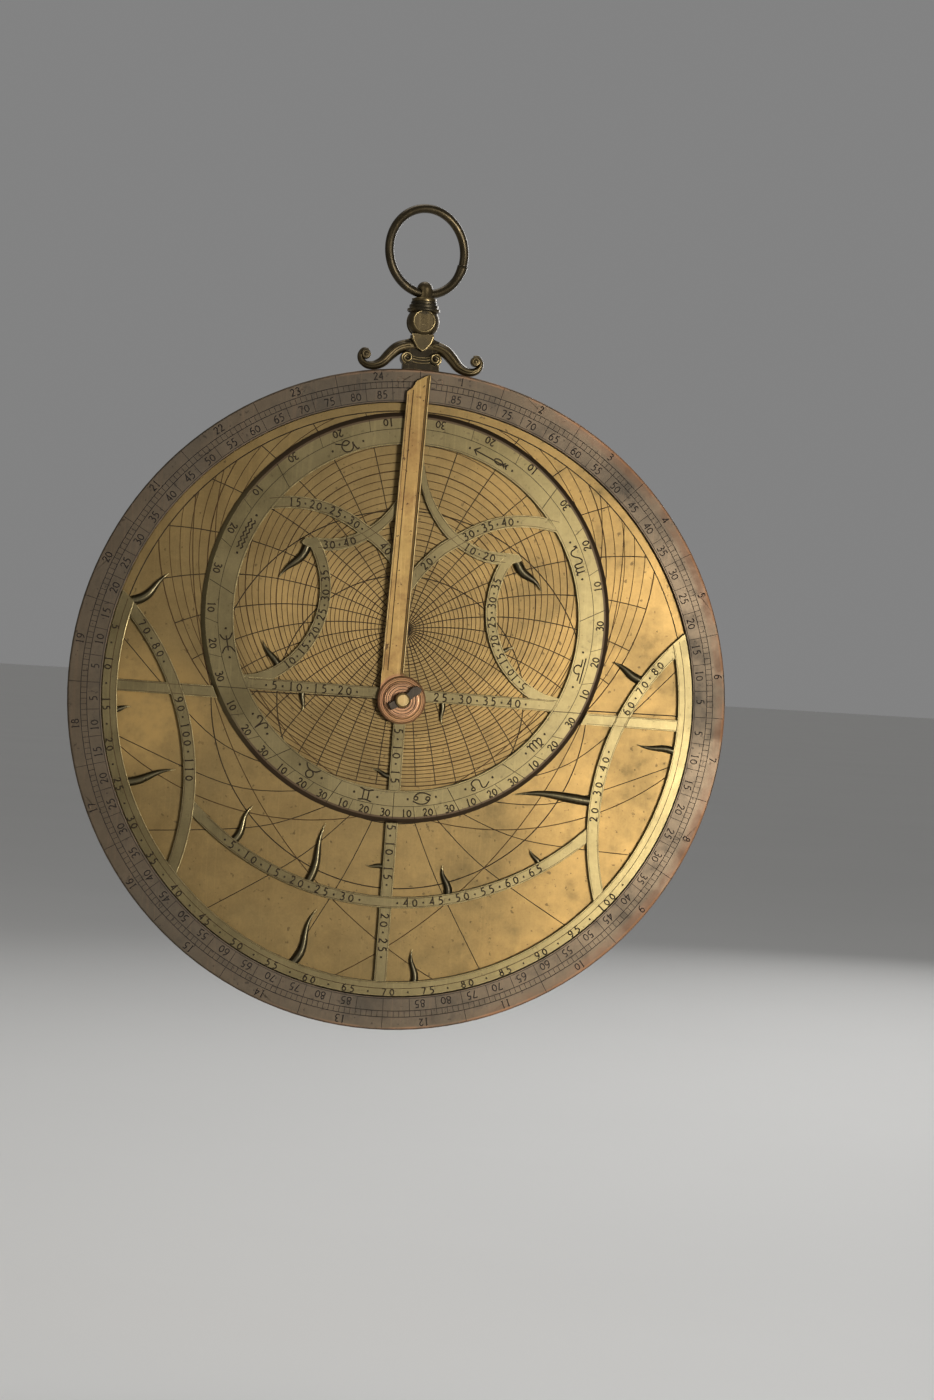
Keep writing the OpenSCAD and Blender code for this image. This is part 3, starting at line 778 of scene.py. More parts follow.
# Painted shade: a darker copy of the throne bronze for the plate and volutes, where the arms shade the recess
# behind them.
THRONE_PAINTED_SHADE = replace(THRONE_BRONZE, name="aged_throne_recess", clean=(48, 41, 29), tarnish=(33, 29, 21))
# Painted highlight: a lighter copy of the throne bronze for the raised facet rims, tongue ridges and spirals,
# as if they catch the light.
THRONE_PAINTED_HIGHLIGHT = replace(THRONE_BRONZE, name="aged_throne_ridge", clean=(146, 127, 87), tarnish=(98, 85, 58))
# Two darker discs: over the top of the ball and its neck, and over the tongue's point.
SHACKLE_BRONZE = replace(
    THRONE_BRONZE, name="aged_shackle_bronze",
    zones=(Zone((0.0, 120.4), 0.0, 3.6, (46, 41, 31), blur=0.6, broken=0.25),
           Zone((0.0, 107.9), 0.0, 1.4, (66, 57, 39), blur=1.0, broken=0.3)))
RING_BRONZE = MetalFinish(
    "aged_ring_bronze", clean=(71, 61, 42), tarnish=(49, 43, 32), stain=(30, 26, 19), worn=(150, 128, 88),
    clouds=0.7, specks=0.4, scratches=0.3, wear=0.4, rough=0.3, metallic=0.92)
RULE_BRASS = MetalFinish(
    "aged_rule_brass", clean=(150, 121, 71), tarnish=(108, 80, 46), stain=(66, 46, 27), worn=(216, 182, 120),
    clouds=0.95, specks=0.95, scratches=0.3, wear=1.0, rough=0.36, metallic=0.88,
    zones=(Zone(PIVOT, 0.0, 7.6, (136, 96, 68), blur=0.8, broken=0.4),))
PIN_BRASS = MetalFinish(
    "aged_pin_brass", clean=(176, 148, 98), tarnish=(134, 108, 68), stain=(80, 60, 36), worn=(226, 200, 146),
    clouds=0.5, specks=0.3, scratches=0.4, wear=0.6, rough=0.26, metallic=0.92)
# Rubbed wear and a painted highlight: a paler brass for the strips along the rule's edges, where its bevels
# catch the light.
RULE_EDGE_WEAR_AND_HIGHLIGHT = replace(
    PIN_BRASS, name="aged_rubbed_brass", clean=(184, 154, 102), tarnish=(142, 114, 70), wear=0.3, rough=0.5)
WASHER_COPPER = MetalFinish(
    "aged_washer_copper", clean=(158, 116, 82), tarnish=(108, 82, 60), stain=(54, 40, 30), worn=(206, 158, 114),
    clouds=0.8, specks=0.5, scratches=0.3, wear=0.7, rough=0.34, metallic=0.9, turned=True)
WEDGE_IRON = MetalFinish(
    "aged_wedge_iron", clean=(70, 61, 50), tarnish=(44, 37, 30), stain=(25, 21, 17), worn=(130, 112, 88),
    clouds=0.8, specks=0.7, scratches=0.2, wear=0.5, rough=0.42, metallic=0.85)
ALIDADE_BRASS = MetalFinish(
    "aged_alidade_brass", clean=(172, 138, 82), tarnish=(130, 104, 62), stain=(74, 56, 34),
    worn=(214, 180, 120), clouds=0.65, specks=0.4, scratches=0.6, wear=0.5, rough=0.35, metallic=0.9)
DARK_LINE = LineFinish("dark_line", colour=(40, 30, 18), faded=(66, 52, 32), fade=0.4)
BROWN_LINE = LineFinish("brown_line", colour=(62, 42, 20), faded=(86, 64, 34), fade=0.5)
LIMB_LINE = LineFinish("limb_line", colour=(28, 23, 20), faded=(50, 42, 35), fade=0.4)


@dataclass(frozen=True)
class Face:
    """A flat face of the instrument, on which a drawing is laid."""

    y: float
    facing: Facing = Facing.FRONT
    turn: float = 0.0

    def placing(self, thickness: float) -> Matrix:
        """Places a drawing on the face.

        Args:
            thickness: How much the third axis is squeezed.

        Returns:
            From drawing millimetres to the row frame.
        """
        side = self.facing.value
        basis = Matrix(((-side, 0, 0, 0), (0, 0, side, 0), (0, 1, 0, 0), (0, 0, 0, 1)))
        turn = Matrix.Rotation(radians(self.turn * side), 4, "Z")
        shift = Matrix.Translation((0.0, self.y * MM, LAYOUT.pivot_z * MM))
        return shift @ Matrix.Scale(MM, 4) @ basis @ turn @ Matrix.Diagonal((1.0, 1.0, thickness, 1.0))


def new_object(name: str, data: bpy.types.ID) -> Piece:
    """Puts new data in the scene as an object.

    Args:
        name: Its name.
        data: A mesh, curve, light or camera.

    Returns:
        The object.
    """
    made = bpy.data.objects.new(name, data)
    bpy.context.scene.collection.objects.link(made)
    return made


def drawn(name: str, strokes: Sequence[Stroke], placing: Matrix, rounds: int = 0, soft: bool = False) -> Piece:
    """Makes a piece of strokes with a ridged or rounded section.

    Args:
        name: Name of the piece.
        strokes: Each stroke's points, half widths and whether it is closed.
        placing: From drawing millimetres to the row frame.
        rounds: 0 gives a ridge, more gives a rounder section.
        soft: Shades it smoothly.

    Returns:
        The piece, in place.
    """
    curve = bpy.data.curves.new(name, "CURVE")
    curve.dimensions = "2D"
    curve.fill_mode = "NONE"
    curve.bevel_depth = 1.0
    curve.bevel_resolution = rounds
    curve.use_fill_caps = True
    for points, radii, closed in strokes:
        spline = curve.splines.new("POLY")
        spline.points.add(len(points) - 1)
        for knot, (u, v), radius in zip(spline.points, points, radii):
            knot.co = (u, v, 0.0, 1.0)
            knot.radius = radius
        spline.use_cyclic_u = closed
    source = new_object(name, curve)
    mesh = bpy.data.meshes.new_from_object(source.evaluated_get(bpy.context.evaluated_depsgraph_get()))
    bpy.data.objects.remove(source)
    bpy.data.curves.remove(curve)
    mesh.name = name
    mesh.transform(placing)
    if soft:
        mesh.shade_smooth()
    return new_object(name, mesh)


def from_bmesh(name: str, shape: bmesh.types.BMesh, placing: Matrix) -> Piece:
    """Makes a piece of a bmesh, facing outwards.

    Args:
        name: Name of the piece.
        shape: The bmesh, which is freed.
        placing: Where it goes.

    Returns:
        The piece, in place.
    """
    bmesh.ops.recalc_face_normals(shape, faces=shape.faces[:])
    mesh = bpy.data.meshes.new(name)
    shape.to_mesh(mesh)
    shape.free()
    mesh.transform(placing)
    mesh.shade_smooth()
    return new_object(name, mesh)


def lathe(name: str, profile: Sequence[Point], at: Point, steps: int) -> Piece:
    """Turns a profile about an axis along Y through a point of the drawing.

    Args:
        name: Name of the piece.
        profile: Radius and Y of each point, in millimetres.
        at: Where the axis passes, in the drawing.
        steps: Steps in the full turn.

    Returns:
        The piece, closed and facing outwards.
    """
    shape = bmesh.new()
    knots = [shape.verts.new((radius, y, 0.0)) for radius, y in profile]
    for a, b in zip(knots, knots[1:]):
        shape.edges.new((a, b))
    bmesh.ops.spin(shape, geom=shape.verts[:] + shape.edges[:], cent=(0, 0, 0), axis=(0, 1, 0),
                   angle=tau, steps=steps, use_merge=True)
    bmesh.ops.remove_doubles(shape, verts=shape.verts[:], dist=1e-4)
    return from_bmesh(name, shape, Matrix.Translation(row_point(at)) @ Matrix.Scale(MM, 4))


def ready(piece: Piece, finish: Finish, body: str, slot: str, *nodes: str) -> None:
    """Dresses a piece, puts it on its body and reports it.

    Args:
        piece: The piece, in place.
        finish: Its finish.
        body: The body it rides on.
        slot: Not used.
        *nodes: CAD nodes it stands for.
    """
    finish.dress(piece)
    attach(piece, body)
    if nodes:
        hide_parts(*nodes)
    LOG.info("%s: %d faces on %s", piece.name, len(piece.data.polygons), body)


class Burin:
    """Collects engraved strokes on one face and cuts them as one piece."""

    section: float = 0.1
    pitch: float = 0.74
    digit_middle: Point = (0.3, 0.5)
    tens: tuple[int, ...] = (10, 20, 30)

    def __init__(self, name: str, face: Face) -> None:
        """Starts without strokes.

        Args:
            name: Name of the piece.
            face: The face it is cut in.
        """
        self.name = name
        self.face = face
        self.strokes: list[Stroke] = []

    def stroke(self, points: Path, width: float, closed: bool = False) -> None:
        """Cuts along a path."""
        if len(points) > 1:
            self.strokes.append((points, [width / 2] * len(points), closed))

    def pair(self, points: Path, width: float) -> None:
        """Cuts along a path and along its mirror image."""
        self.stroke(points, width)
        self.stroke(mirrored(points), width)

    def circle(self, radius: float, width: float, centre: Point = PIVOT, step: float = 2.0) -> None:
        """Cuts a full circle."""
        self.stroke(arc_path(centre, radius, 0.0, 360.0, step)[:-1], width, True)

    def radial(self, angle: float, inner: float, outer: float, width: float) -> None:
        """Cuts a line along a radius of the disc."""
        self.stroke([polar(inner, angle), polar(outer, angle)], width)

    def ticks(self, step: int, inner: float, outer: float, width: float) -> None:
        """Cuts a radial line every so many degrees, all round."""
        for degree in range(0, 360, step):
            self.radial(degree, inner, outer, width)

    def inside(self, path: Path, radius: float, width: float) -> None:
        """Cuts the part of a path that lies inside a circle about the pivot."""
        for run in runs_inside(path, radius):
            self.stroke(run, width)

    def figure(self, strokes: Iterable[Path], at: Point, angle: float, size: float, width: float) -> None:
        """Cuts a figure drawn about its own middle.

        Args:
            strokes: The figure's strokes.
            at: Where its middle goes.
            angle: Its turn in degrees, anticlockwise.
            size: Millimetres for one unit of the drawing.
            width: Width of the cut.
        """
        c, s = cos(radians(angle)) * size, sin(radians(angle)) * size
        for stroke in strokes:
            self.stroke([(at[0] + u * c - v * s, at[1] + u * s + v * c) for u, v in stroke], width)

    def numerals(self, text: str, at: Point, angle: float, height: float, width: float) -> None:
        """Cuts numerals in a straight row about a middle.

        Args:
            text: Digits, dots and spaces.
            at: Middle of the row.
            angle: Direction of reading in degrees.
            height: Height of a digit.
            width: Width of the cut.
        """
        middle_u, middle_v = self.digit_middle
        for index, sign in enumerate(text):
            left = self.pitch * (index - (len(text) - 1) / 2) - middle_u
            figure = [[(u + left, v - middle_v) for u, v in path] for path in NUMERALS[sign]]
            self.figure(figure, at, angle, height, width)

    def numerals_on_path(self, text: str, path: Path, pitch: float, start: float, height: float = 2.3,
                         width: float = 0.38) -> None:
        """Cuts numerals that follow a path, reading along it.

        Args:
            text: Digits, dots and spaces.
            path: The path through the middles of the digits.
            pitch: Step from digit to digit, as a part of the height.
            start: Length of path left bare before the first digit.
            height: Height of a digit.
            width: Width of the cut.
        """
        lengths = [0.0]
        for a, b in zip(path, path[1:]):
            lengths.append(lengths[-1] + dist(a, b))
        for index, sign in enumerate(text):
            along = start + index * pitch * height
            if along > lengths[-1]:
                return
            leg = next((i for i in range(1, len(lengths)) if lengths[i] >= along), len(lengths) - 1)
            part = (along - lengths[leg - 1]) / (lengths[leg] - lengths[leg - 1])
            (u0, v0), (u1, v1) = path[leg - 1], path[leg]
            at = (u0 + (u1 - u0) * part, v0 + (v1 - v0) * part)
            self.numerals(sign, at, degrees(atan2(v1 - v0, u1 - u0)), height, width)

    def number(self, value: int, radius: float, angle: float, height: float, width: float) -> None:
        """Cuts a number at an angle of a circle about the pivot, its top outwards."""
        self.numerals(str(value), polar(radius, angle), angle - 90.0, height, width)

    def quarters(self, last: int, lag: float, radius: float, height: float, width: float) -> None:
        """Cuts 5, 10 and so on in each quarter, up from the sides.

        Args:
            last: The last number.
            lag: Degrees by which each stands before its line.
            radius: Radius of their middles.
            height: Height of a digit.
            width: Width of the cut.
        """
        for quarter in range(4):
            for value in range(5, last + 1, 5):
                rise = value - lag if quarter % 2 == 0 else 90.0 - value + lag
                self.number(value, radius, 90.0 * quarter + rise, height, width)

    def cut(self, finish: Finish, body: str, slot: str) -> None:
        """Makes the piece on a body, with a finish."""
        ready(drawn(self.name, self.strokes, self.face.placing(self.section)), finish, body, slot)


@dataclass
class Part:
    """A sub-assembly, built round the CAD nodes."""

    nodes: dict[str, Piece]

    SAME_POINT = 1e-6
    SHARP_FROM = 35.0

    def solids(self, finish: Finish, width: float, *names: str, segments: int = 2) -> None:
        """Gives CAD nodes a finish and, with modifiers that leave their meshes alone, soft edges.

        Args:
            finish: Their finish.
            width: Width of the rounding in millimetres, or 0.
            *names: The nodes.
            segments: Steps across the rounding.
        """
        for node in (self.nodes[name] for name in names):
            finish.dress(node)
            if width > 0.0:
                node.modifiers.new("weld", "WELD").merge_threshold = self.SAME_POINT
                bevel = node.modifiers.new("soft_edges", "BEVEL")
                bevel.width = width * MM
                bevel.segments = segments
                bevel.limit_method = "ANGLE"
                bevel.angle_limit = radians(self.SHARP_FROM)


@dataclass
class Suspension(Part):
    """Ring, swivel and shackle, from which the disc hangs."""

    facet_y: float = 3.75
    facet_r: float = 3.25
    facet_rim: tuple[Point, ...] = (
        (-0.35, 0.0), (-0.3, 0.16), (0.0, 0.2), (0.2, 0.0), (0.1, -0.4), (-0.3, -0.4), (-0.35, 0.0))
    shackle_up: float = 114.5
    cheek_y: float = 2.9
    wire_r: float = 1.35
    ring_r: float = 12.9
    ring_turn: float = 22.0
    joint_at: float = -14.0
    joint_span: float = 34.0
    joint_swell: float = 0.26
    joint_sink: float = 0.08

    def build(self) -> None:
        """Dresses the solids and adds what stands out of the shackle and the ring."""
        self.solids(RING_BRONZE, 0.25, "suspension_ring")
        self.solids(THRONE_BRONZE, 0.25, "swivel_eye")
        self.solids(SHACKLE_BRONZE, 0.18, "shackle")
        self.solids(SHACKLE_BRONZE, 0.15, "shackle_pin")
        for side in Facing:
            rim = [(self.facet_r + out, side.value * (self.facet_y + rise)) for out, rise in self.facet_rim]
            piece = lathe(f"facet_rim_{side.name.lower()}", rim, (0.0, self.shackle_up), 48)
            ready(piece, THRONE_PAINTED_HIGHLIGHT, "shackle", "throne_bronze")
            self._tongue_ridges(side)
        self._ring_joint()

    def _tongue_ridges(self, side: Facing) -> None:
        """Makes the two ridges that meet in a point on one cheek of the shackle.

        Args:
            side: The side of the cheek.
        """
        right = smooth([(3.0, 109.9), (2.5, 108.3), (1.2, 106.5), (0.0, 105.6)], 4)
        radii = [0.42 - 0.2 * i / (len(right) - 1) for i in range(len(right))]
        strokes = [(path, radii, False) for path in (mirrored(right), right)]
        placing = Face(self.cheek_y * side.value).placing(0.7)
        ready(drawn(f"tongue_ridges_{side.name.lower()}", strokes, placing, 1), THRONE_PAINTED_HIGHLIGHT, "shackle",
              "throne_bronze")

    def _ring_joint(self) -> None:
        """Makes the step where the ends of the ring's wire overlap."""
        steps, sides = 8, 20
        turns = [tau * k / sides for k in range(sides)]
        shape = bmesh.new()
        loops = []
        for part in (i / steps for i in range(steps + 1)):
            angle = radians(self.joint_at - self.joint_span * part)
            outward = Vector((cos(angle), 0.0, sin(angle)))
            middle = outward * self.ring_r - Vector((0.0, 0.0, self.ring_r - self.wire_r))
            reach = self.wire_r + self.joint_swell * (1.0 - part) ** 1.5 - self.joint_sink * part
            across = Vector((0.0, reach, 0.0))
            loops.append([shape.verts.new(middle + outward * reach * cos(t) + across * sin(t)) for t in turns])
        for a, b in zip(loops, loops[1:]):
            for k in range(sides):
                shape.faces.new((a[k], a[k - 1], b[k - 1], b[k]))
        shape.faces.new(loops[0])
        shape.faces.new(loops[-1])
        placing = Matrix.Scale(MM, 4) @ Matrix.Rotation(radians(self.ring_turn), 4, "Z")
        ready(from_bmesh("ring_joint", shape, placing), RING_BRONZE, "ring", "ring_bronze")


@dataclass
class Throne(Part):
    """The cast bracket between the shackle and the disc."""

    arm: Path = field(default_factory=lambda: [
        (1.4, 107.4), (4.6, 107.1), (7.4, 106.0), (9.6, 103.9), (11.6, 101.7), (14.0, 100.5), (16.2, 100.5),
        (17.9, 101.6), (18.4, 103.4), (17.5, 105.0), (16.0, 105.1)])
    ball_at: Point = (16.7, 103.7)
    ball_r: float = 1.55
    volute_at: Point = (4.3, 103.4)
    volute_r: float = 1.9
    volute_half_len: float = 2.1
    rib: tuple[Point, ...] = ((-2.6, 0.2), (-1.2, -0.1), (1.2, -0.1), (2.6, 0.2))

    def build(self) -> None:
        """Makes the arms, their balls, the volutes and the bar between them."""
        self.solids(THRONE_PAINTED_SHADE, 0.3, "throne_plate", segments=3)
        self.solids(LIMB_BRASS, 0.15, "throne_rivets")
        for side, name in ((1, "right"), (-1, "left")):
            self._arm(side, name)
        half, r = self.volute_half_len, self.volute_r
        profile = both_ends([(0.0, -half - 0.5), (0.5, -half - 0.42), (0.75, -half - 0.1), (0.95, -half + 0.15),
                             (r - 0.45, -half + 0.1), (r - 0.15, -half - 0.05), (r, -half + 0.25)])
        for side, name, stands_for in ((1, "right", ["throne_volutes"]), (-1, "left", [])):
            volute = lathe(f"volute_{name}", profile, (self.volute_at[0] * side, self.volute_at[1]), 40)
            ready(volute, THRONE_PAINTED_SHADE, "mater", "throne_bronze", *stands_for)
        for facing in Facing:
            self._spirals(facing)

    def _arm(self, side: int, name: str) -> None:
        """Makes one arm: a swelling stem that curls into a scroll round a ball, and a leaf along it.

        Args:
            side: 1 for the right arm, -1 for the left.
            name: That side in words.
        """
        points = smooth([(side * u, v) for u, v in self.arm], 6)
        parts = [i / (len(points) - 1) for i in range(len(points))]
        radii = [1.75 + 0.25 * sin(pi * min(part * 2.0, 1.0)) - 1.35 * part ** 1.7 for part in parts]
        leaf = slice(4, -14)
        crease = [(u, v + 0.25) for u, v in points[leaf]]
        scroll = drawn(f"throne_scroll_{name}", [(points, radii, False)], Face(0.0).placing(0.95), 3, True)
        ready(scroll, THRONE_BRONZE, "mater", "throne_bronze", f"throne_arm_{name}")
        ridge = drawn(f"throne_leaf_{name}", [(crease, [0.42 * r for r in radii[leaf]], False)],
                      Face(-1.45).placing(0.9), 1, True)
        ready(ridge, THRONE_BRONZE, "mater", "throne_bronze")
        r = self.ball_r
        profile = both_ends([(0.0, -1.75), (0.45, -1.68), (0.62, -1.4), (0.8, -1.35), (r - 0.4, -1.5),
                             (r - 0.1, -1.25), (r, -0.8)])
        ball = lathe(f"throne_ball_{name}", profile, (self.ball_at[0] * side, self.ball_at[1]), 32)
        ready(ball, THRONE_BRONZE, "mater", "throne_bronze")

    def _spirals(self, facing: Facing) -> None:
        """Makes the raised spirals on one end of the volutes, and the ribbed bar between them.

        Args:
            facing: The end.
        """
        u, v = self.volute_at
        count = 29
        turns = [(0.5 + 1.25 * i / (count - 1), radians(22.0 * i)) for i in range(count)]
        right = [(u - reach * cos(turn), v + reach * sin(turn)) for reach, turn in turns]
        radii = [0.24 + 0.1 * i / (count - 1) for i in range(count)]
        strokes = [(path, radii, False) for path in (mirrored(right), right)]
        for height, half in ((v + 0.25, 0.16), (v - 0.45, 0.2), (v - 1.35, 0.14)):
            row = smooth([(u, height + rise) for u, rise in self.rib], 4)
            strokes.append((row, [half] * len(row), False))
        placing = Face(self.volute_half_len * facing.value).placing(1.0)
        ready(drawn(f"throne_spirals_{facing.name.lower()}", strokes, placing, 1), THRONE_PAINTED_HIGHLIGHT, "mater",
              "throne_bronze")


@dataclass
class Limb(Part):
    """The raised rim with its hour and degree scales."""

    in_r: float = 90.45
    number_r: float = 92.25
    tick_in_r: float = 94.2
    tick_out_r: float = 96.05
    hour_r: float = 97.9
    edge_r: float = 99.5

    def build(self) -> None:
        """Dresses the solids and engraves the degrees of each quarter and the hours 1 to 24."""
        self.solids(LIMB_BRASS, 0.12, "limb_ring")
        self.solids(PLATE_BRASS, 0.12, "mater_plate")
        self.solids(LIMB_BRASS, 0.0, "limb_rivets")
        self.solids(PLATE_BRASS, 0.0, "womb_stud")
        scale = Burin("limb_scales", Face(LAYOUT.limb_y))
        for radius, width in ((self.in_r, 0.16), (self.tick_in_r, 0.2), (self.tick_out_r, 0.2)):
            scale.circle(radius, width)
        scale.ticks(1, self.tick_in_r, self.tick_out_r, 0.14)
        scale.ticks(5, self.in_r, self.tick_in_r, 0.15)
        scale.ticks(15, self.tick_out_r, self.edge_r, 0.16)
        scale.quarters(85, 2.0, self.number_r, 2.3, 0.3)
        for hour in range(1, 25):
            scale.number(hour, self.hour_r, 97.5 - 15.0 * hour, 2.2, 0.3)
        scale.cut(LIMB_LINE, "mater", "pointer_brass")


@dataclass
class LatitudePlates(Part):
    """The stack of plates in the womb; the front one carries the projection of the sky."""

    thin: float = 0.22
    thick: float = 0.34
    azimuth_width: float = 0.289
    hour_width: float = 0.264
    house_width: float = 0.272

    def build(self) -> None:
        """Dresses the plates and engraves the front one."""
        self.solids(TYMPAN_BRASS, 0.0, "tympan_back", "tympan_middle", "tympan_front")
        fine = Burin("tympan_almucantars", Face(LAYOUT.tympan_y))
        bold = Burin("tympan_great_lines", Face(LAYOUT.tympan_y))
        self._altitudes(fine)
        self._azimuths(bold)
        self._hours(bold)
        self._houses(fine)
        fine.cut(BROWN_LINE, "mater", "pointer_brass")
        bold.cut(DARK_LINE, "mater", "pointer_brass")

    def _altitudes(self, burin: Burin) -> None:
        """Cuts the circles of equal altitude, every other degree from the horizon.

        Args:
            burin: Cuts the fine lines.
        """
        for altitude in range(0, 90, 2):
            step = 3 if altitude < 70 else 10
            path = [SKY.from_altazimuth(altitude, azimuth) for azimuth in range(0, 361, step)]
            burin.inside(path, SKY.capricorn_r, self.thick if altitude % 10 == 0 else self.thin)

    def _azimuths(self, burin: Burin) -> None:
        """Cuts the lines of equal azimuth, the tropics, the equator and the two straight lines.

        Args:
            burin: Cuts the bold lines.
        """
        for azimuth in range(0, 360, 10):
            top = 90 if azimuth % 30 == 0 else 88
            path = [SKY.from_altazimuth(altitude, azimuth) for altitude in range(0, top + 1, 2)]
            burin.inside(path, SKY.capricorn_r, self.azimuth_width)
        for radius in (SKY.cancer_r, SKY.equator_r, SKY.capricorn_r):
            burin.circle(radius, self.thick)
        for angle in (90.0, 0.0):
            burin.radial(angle, -SKY.capricorn_r, SKY.capricorn_r, self.thick)

    def _hours(self, burin: Burin) -> None:
        """Cuts the arcs of the twelve hours of the night, through three points each.

        Args:
            burin: Cuts the bold lines.
        """
        tropics = (SKY.cancer_r, SKY.equator_r, SKY.capricorn_r)
        spans = [self._night_half_angle(radius) for radius in tropics]
        for hour in range(1, 12):
            knots = [polar(r, -90.0 - span + 2.0 * span * hour / 12.0) for r, span in zip(tropics, spans)]
            burin.inside(smooth(knots, 10), SKY.capricorn_r, self.hour_width)

    def _night_half_angle(self, radius: float) -> float:
        """Half the angle, about the bottom, that a circle runs below the horizon.

        Args:
            radius: Radius of the circle.

        Returns:
            The angle in degrees.
        """
        up, horizon_r = SKY.horizon
        count = 720
        ring = (polar(radius, -90.0 + 180.0 * i / count) for i in range(count))
        return 180.0 * sum(dist(point, (0.0, up)) > horizon_r for point in ring) / count

    def _houses(self, burin: Burin) -> None:
        """Cuts the house lines, which meet at the north and south points of the horizon.

        Args:
            burin: Cuts the fine lines.
        """
        up, horizon_r = SKY.horizon
        for turn in map(radians, (-60, -30, 30, 60)):
            line = arc_path((-up * tan(turn), up), horizon_r / cos(turn), 0.0, 360.0, 1.0)
            burin.inside(line, SKY.capricorn_r, self.house_width)


@dataclass
class StarMap(Part):
    """The pierced star map: rim, ecliptic ring, bars, straps and pointers.

    Attributes:
        pointers: Base and tip of each, its width at the base, its S-bow and its C-bow.
    """

    divide_r: float = 57.1
    side_centre: Point = (140.6, -32.5)
    side_r: float = 79.0
    lower_centre: Point = (0.0, 25.0)
    lower_r: float = 86.3
    lens_centre: Point = (54.3, 30.0)
    lens_r: float = 29.0
    inset: float = 0.42
    hairline: float = 0.12
    crown_low: Path = field(default_factory=lambda: smooth([
        (44, 56.1), (38, 56.9), (32, 56.8), (26, 55.7), (20, 53.3), (14.5, 50), (9, 46.2), (4, 41),
        (0.9, 36.9)], 4))
    crown_high: Path = field(default_factory=lambda: smooth([
        (0.6, 72), (2, 66), (4.5, 60), (8, 54.7), (12, 50.6), (17, 47.4), (22.5, 45.4), (28.6, 44.9)], 4))
    pointers: tuple[tuple[float, ...], ...] = (
        (-82.7, 23.6, -72.4, 32.6, 2.8, -0.04, -0.07), (-86.2, -9.1, -80.7, -8, 1.7, -0.04, 0),
        (-81.4, -30.6, -66, -25.8, 2.6, -0.03, 0), (-47.6, -46.4, -42, -34.9, 2.3, -0.05, 0),
        (-24, -57, -19.9, -38.8, 2.5, -0.03, -0.015), (-27.8, -82.6, -20.6, -64.8, 2.5, -0.05, -0.03),
        (10.2, -86.2, 9.2, -75.2, 2.1, -0.05, -0.015), (-1.2, -50.8, -6.7, -50.5, 1.5, -0.04, 0),
        (-1.2, -23.2, -7.2, -21.4, 1.5, 0.05, 0), (18.8, -58.6, 16.6, -49, 2.3, -0.05, 0),
        (46.2, -47.4, 42.9, -42.3, 1.7, -0.05, 0), (60.4, -26.6, 36.6, -26.2, 3, 0.01, -0.042),
        (86.2, -9.9, 73.6, -8.2, 2.3, -0.03, -0.01), (73.6, 11.2, 63.9, 16.4, 2.7, 0.03, 0),
        (32.3, 44.2, 40.3, 36, 2.8, -0.05, 0), (28.4, 16.6, 33.5, 18.4, 1.4, -0.04, 0),
        (12.4, 0.8, 13.1, -6.6, 1.6, 0.04, 0), (-29.7, 0.8, -29.5, -5.5, 1.6, -0.04, 0),
        (-37.4, 7.1, -43, 15, 2.1, -0.03, 0.03), (-31.6, 44.5, -39.6, 34, 2.6, 0.04, 0.04))

    def build(self) -> None:
        """Dresses the solids, engraves them and makes the pointers."""
        self.solids(RETE_BRASS, 0.14, "rete_rim", "rete_inner_bars", "rete_outer_bars", "rete_side_straps",
                    "rete_lower_strap", "rete_lens_straps", "rete_crown_straps")
        self.solids(ECLIPTIC_BRASS, 0.1, "ecliptic_ring")
        face = Face(LAYOUT.rete_y, Facing.FRONT, LAYOUT.rete_turn)
        self._ecliptic(Burin("ecliptic_signs", face))
        self._borders(Burin("rete_border_lines", face))
        self._lettering(Burin("rete_numbers", face))
        self._pointers()

    def _ring_point(self, radius: float, longitude: float) -> Point:
        """Where the line from the pivot to a longitude meets a circle about the ring's centre.

        Args:
            radius: Radius of the circle.
            longitude: Degrees along the ecliptic.

        Returns:
            The point.
        """
        angle = radians(SKY.ecliptic_turn(longitude))
        lift = LAYOUT.ecliptic_up
        reach = lift * cos(angle) + sqrt(radius ** 2 - (lift * sin(angle)) ** 2)
        return (-reach * sin(angle), reach * cos(angle))

    def _ring_place(self, radius: float, longitude: float) -> tuple[Point, float]:
        """A point of the ring midway in one of its bands, and the reading angle with tops inwards."""
        at = self._ring_point(radius + 0.1, longitude)
        return at, degrees(atan2(at[1] - LAYOUT.ecliptic_up, at[0])) + 90.0

    def _ecliptic(self, burin: Burin) -> None:
        """Cuts the twelve signs, their bounds, the degree numbers and the dividing line.

        Args:
            burin: Cuts the signs.
        """
        inner, outer, divide = LAYOUT.ecliptic_in_r, LAYOUT.ecliptic_flat_r, self.divide_r
        for radius, width in ((divide, 0.16), (inner + 0.5, 0.1)):
            burin.circle(radius, width, (0.0, LAYOUT.ecliptic_up))
        lines = ((0, inner + 0.4, outer - 0.1, 0.2), (10, divide, outer, 0.14), (20, divide, outer, 0.14))
        for index, sign in enumerate(SIGNS):
            start = 30.0 * index
            for part, low, high, width in lines:
                burin.stroke([self._ring_point(radius, start + part) for radius in (low, high)], width)
            for part in burin.tens:
                at, reading = self._ring_place((divide + outer) / 2, start + part - 3.6)
                burin.numerals(str(part), at, reading, 2.2, 0.38)
            middle = (inner + divide) / 2
            reach = max(abs(u) for stroke in sign for u, _ in stroke) + 1.5
            dots = [oval(side * reach, 0.0, 0.16, 0.16, 6) for side in SIDES]
            bent = [[(u, v + u * u / (2 * middle + 0.2)) for u, v in stroke] for stroke in sign + dots]
            burin.figure(bent, *self._ring_place(middle, start + 15.0), 1.0, 0.4)
        burin.cut(DARK_LINE, "rete", "pointer_brass")

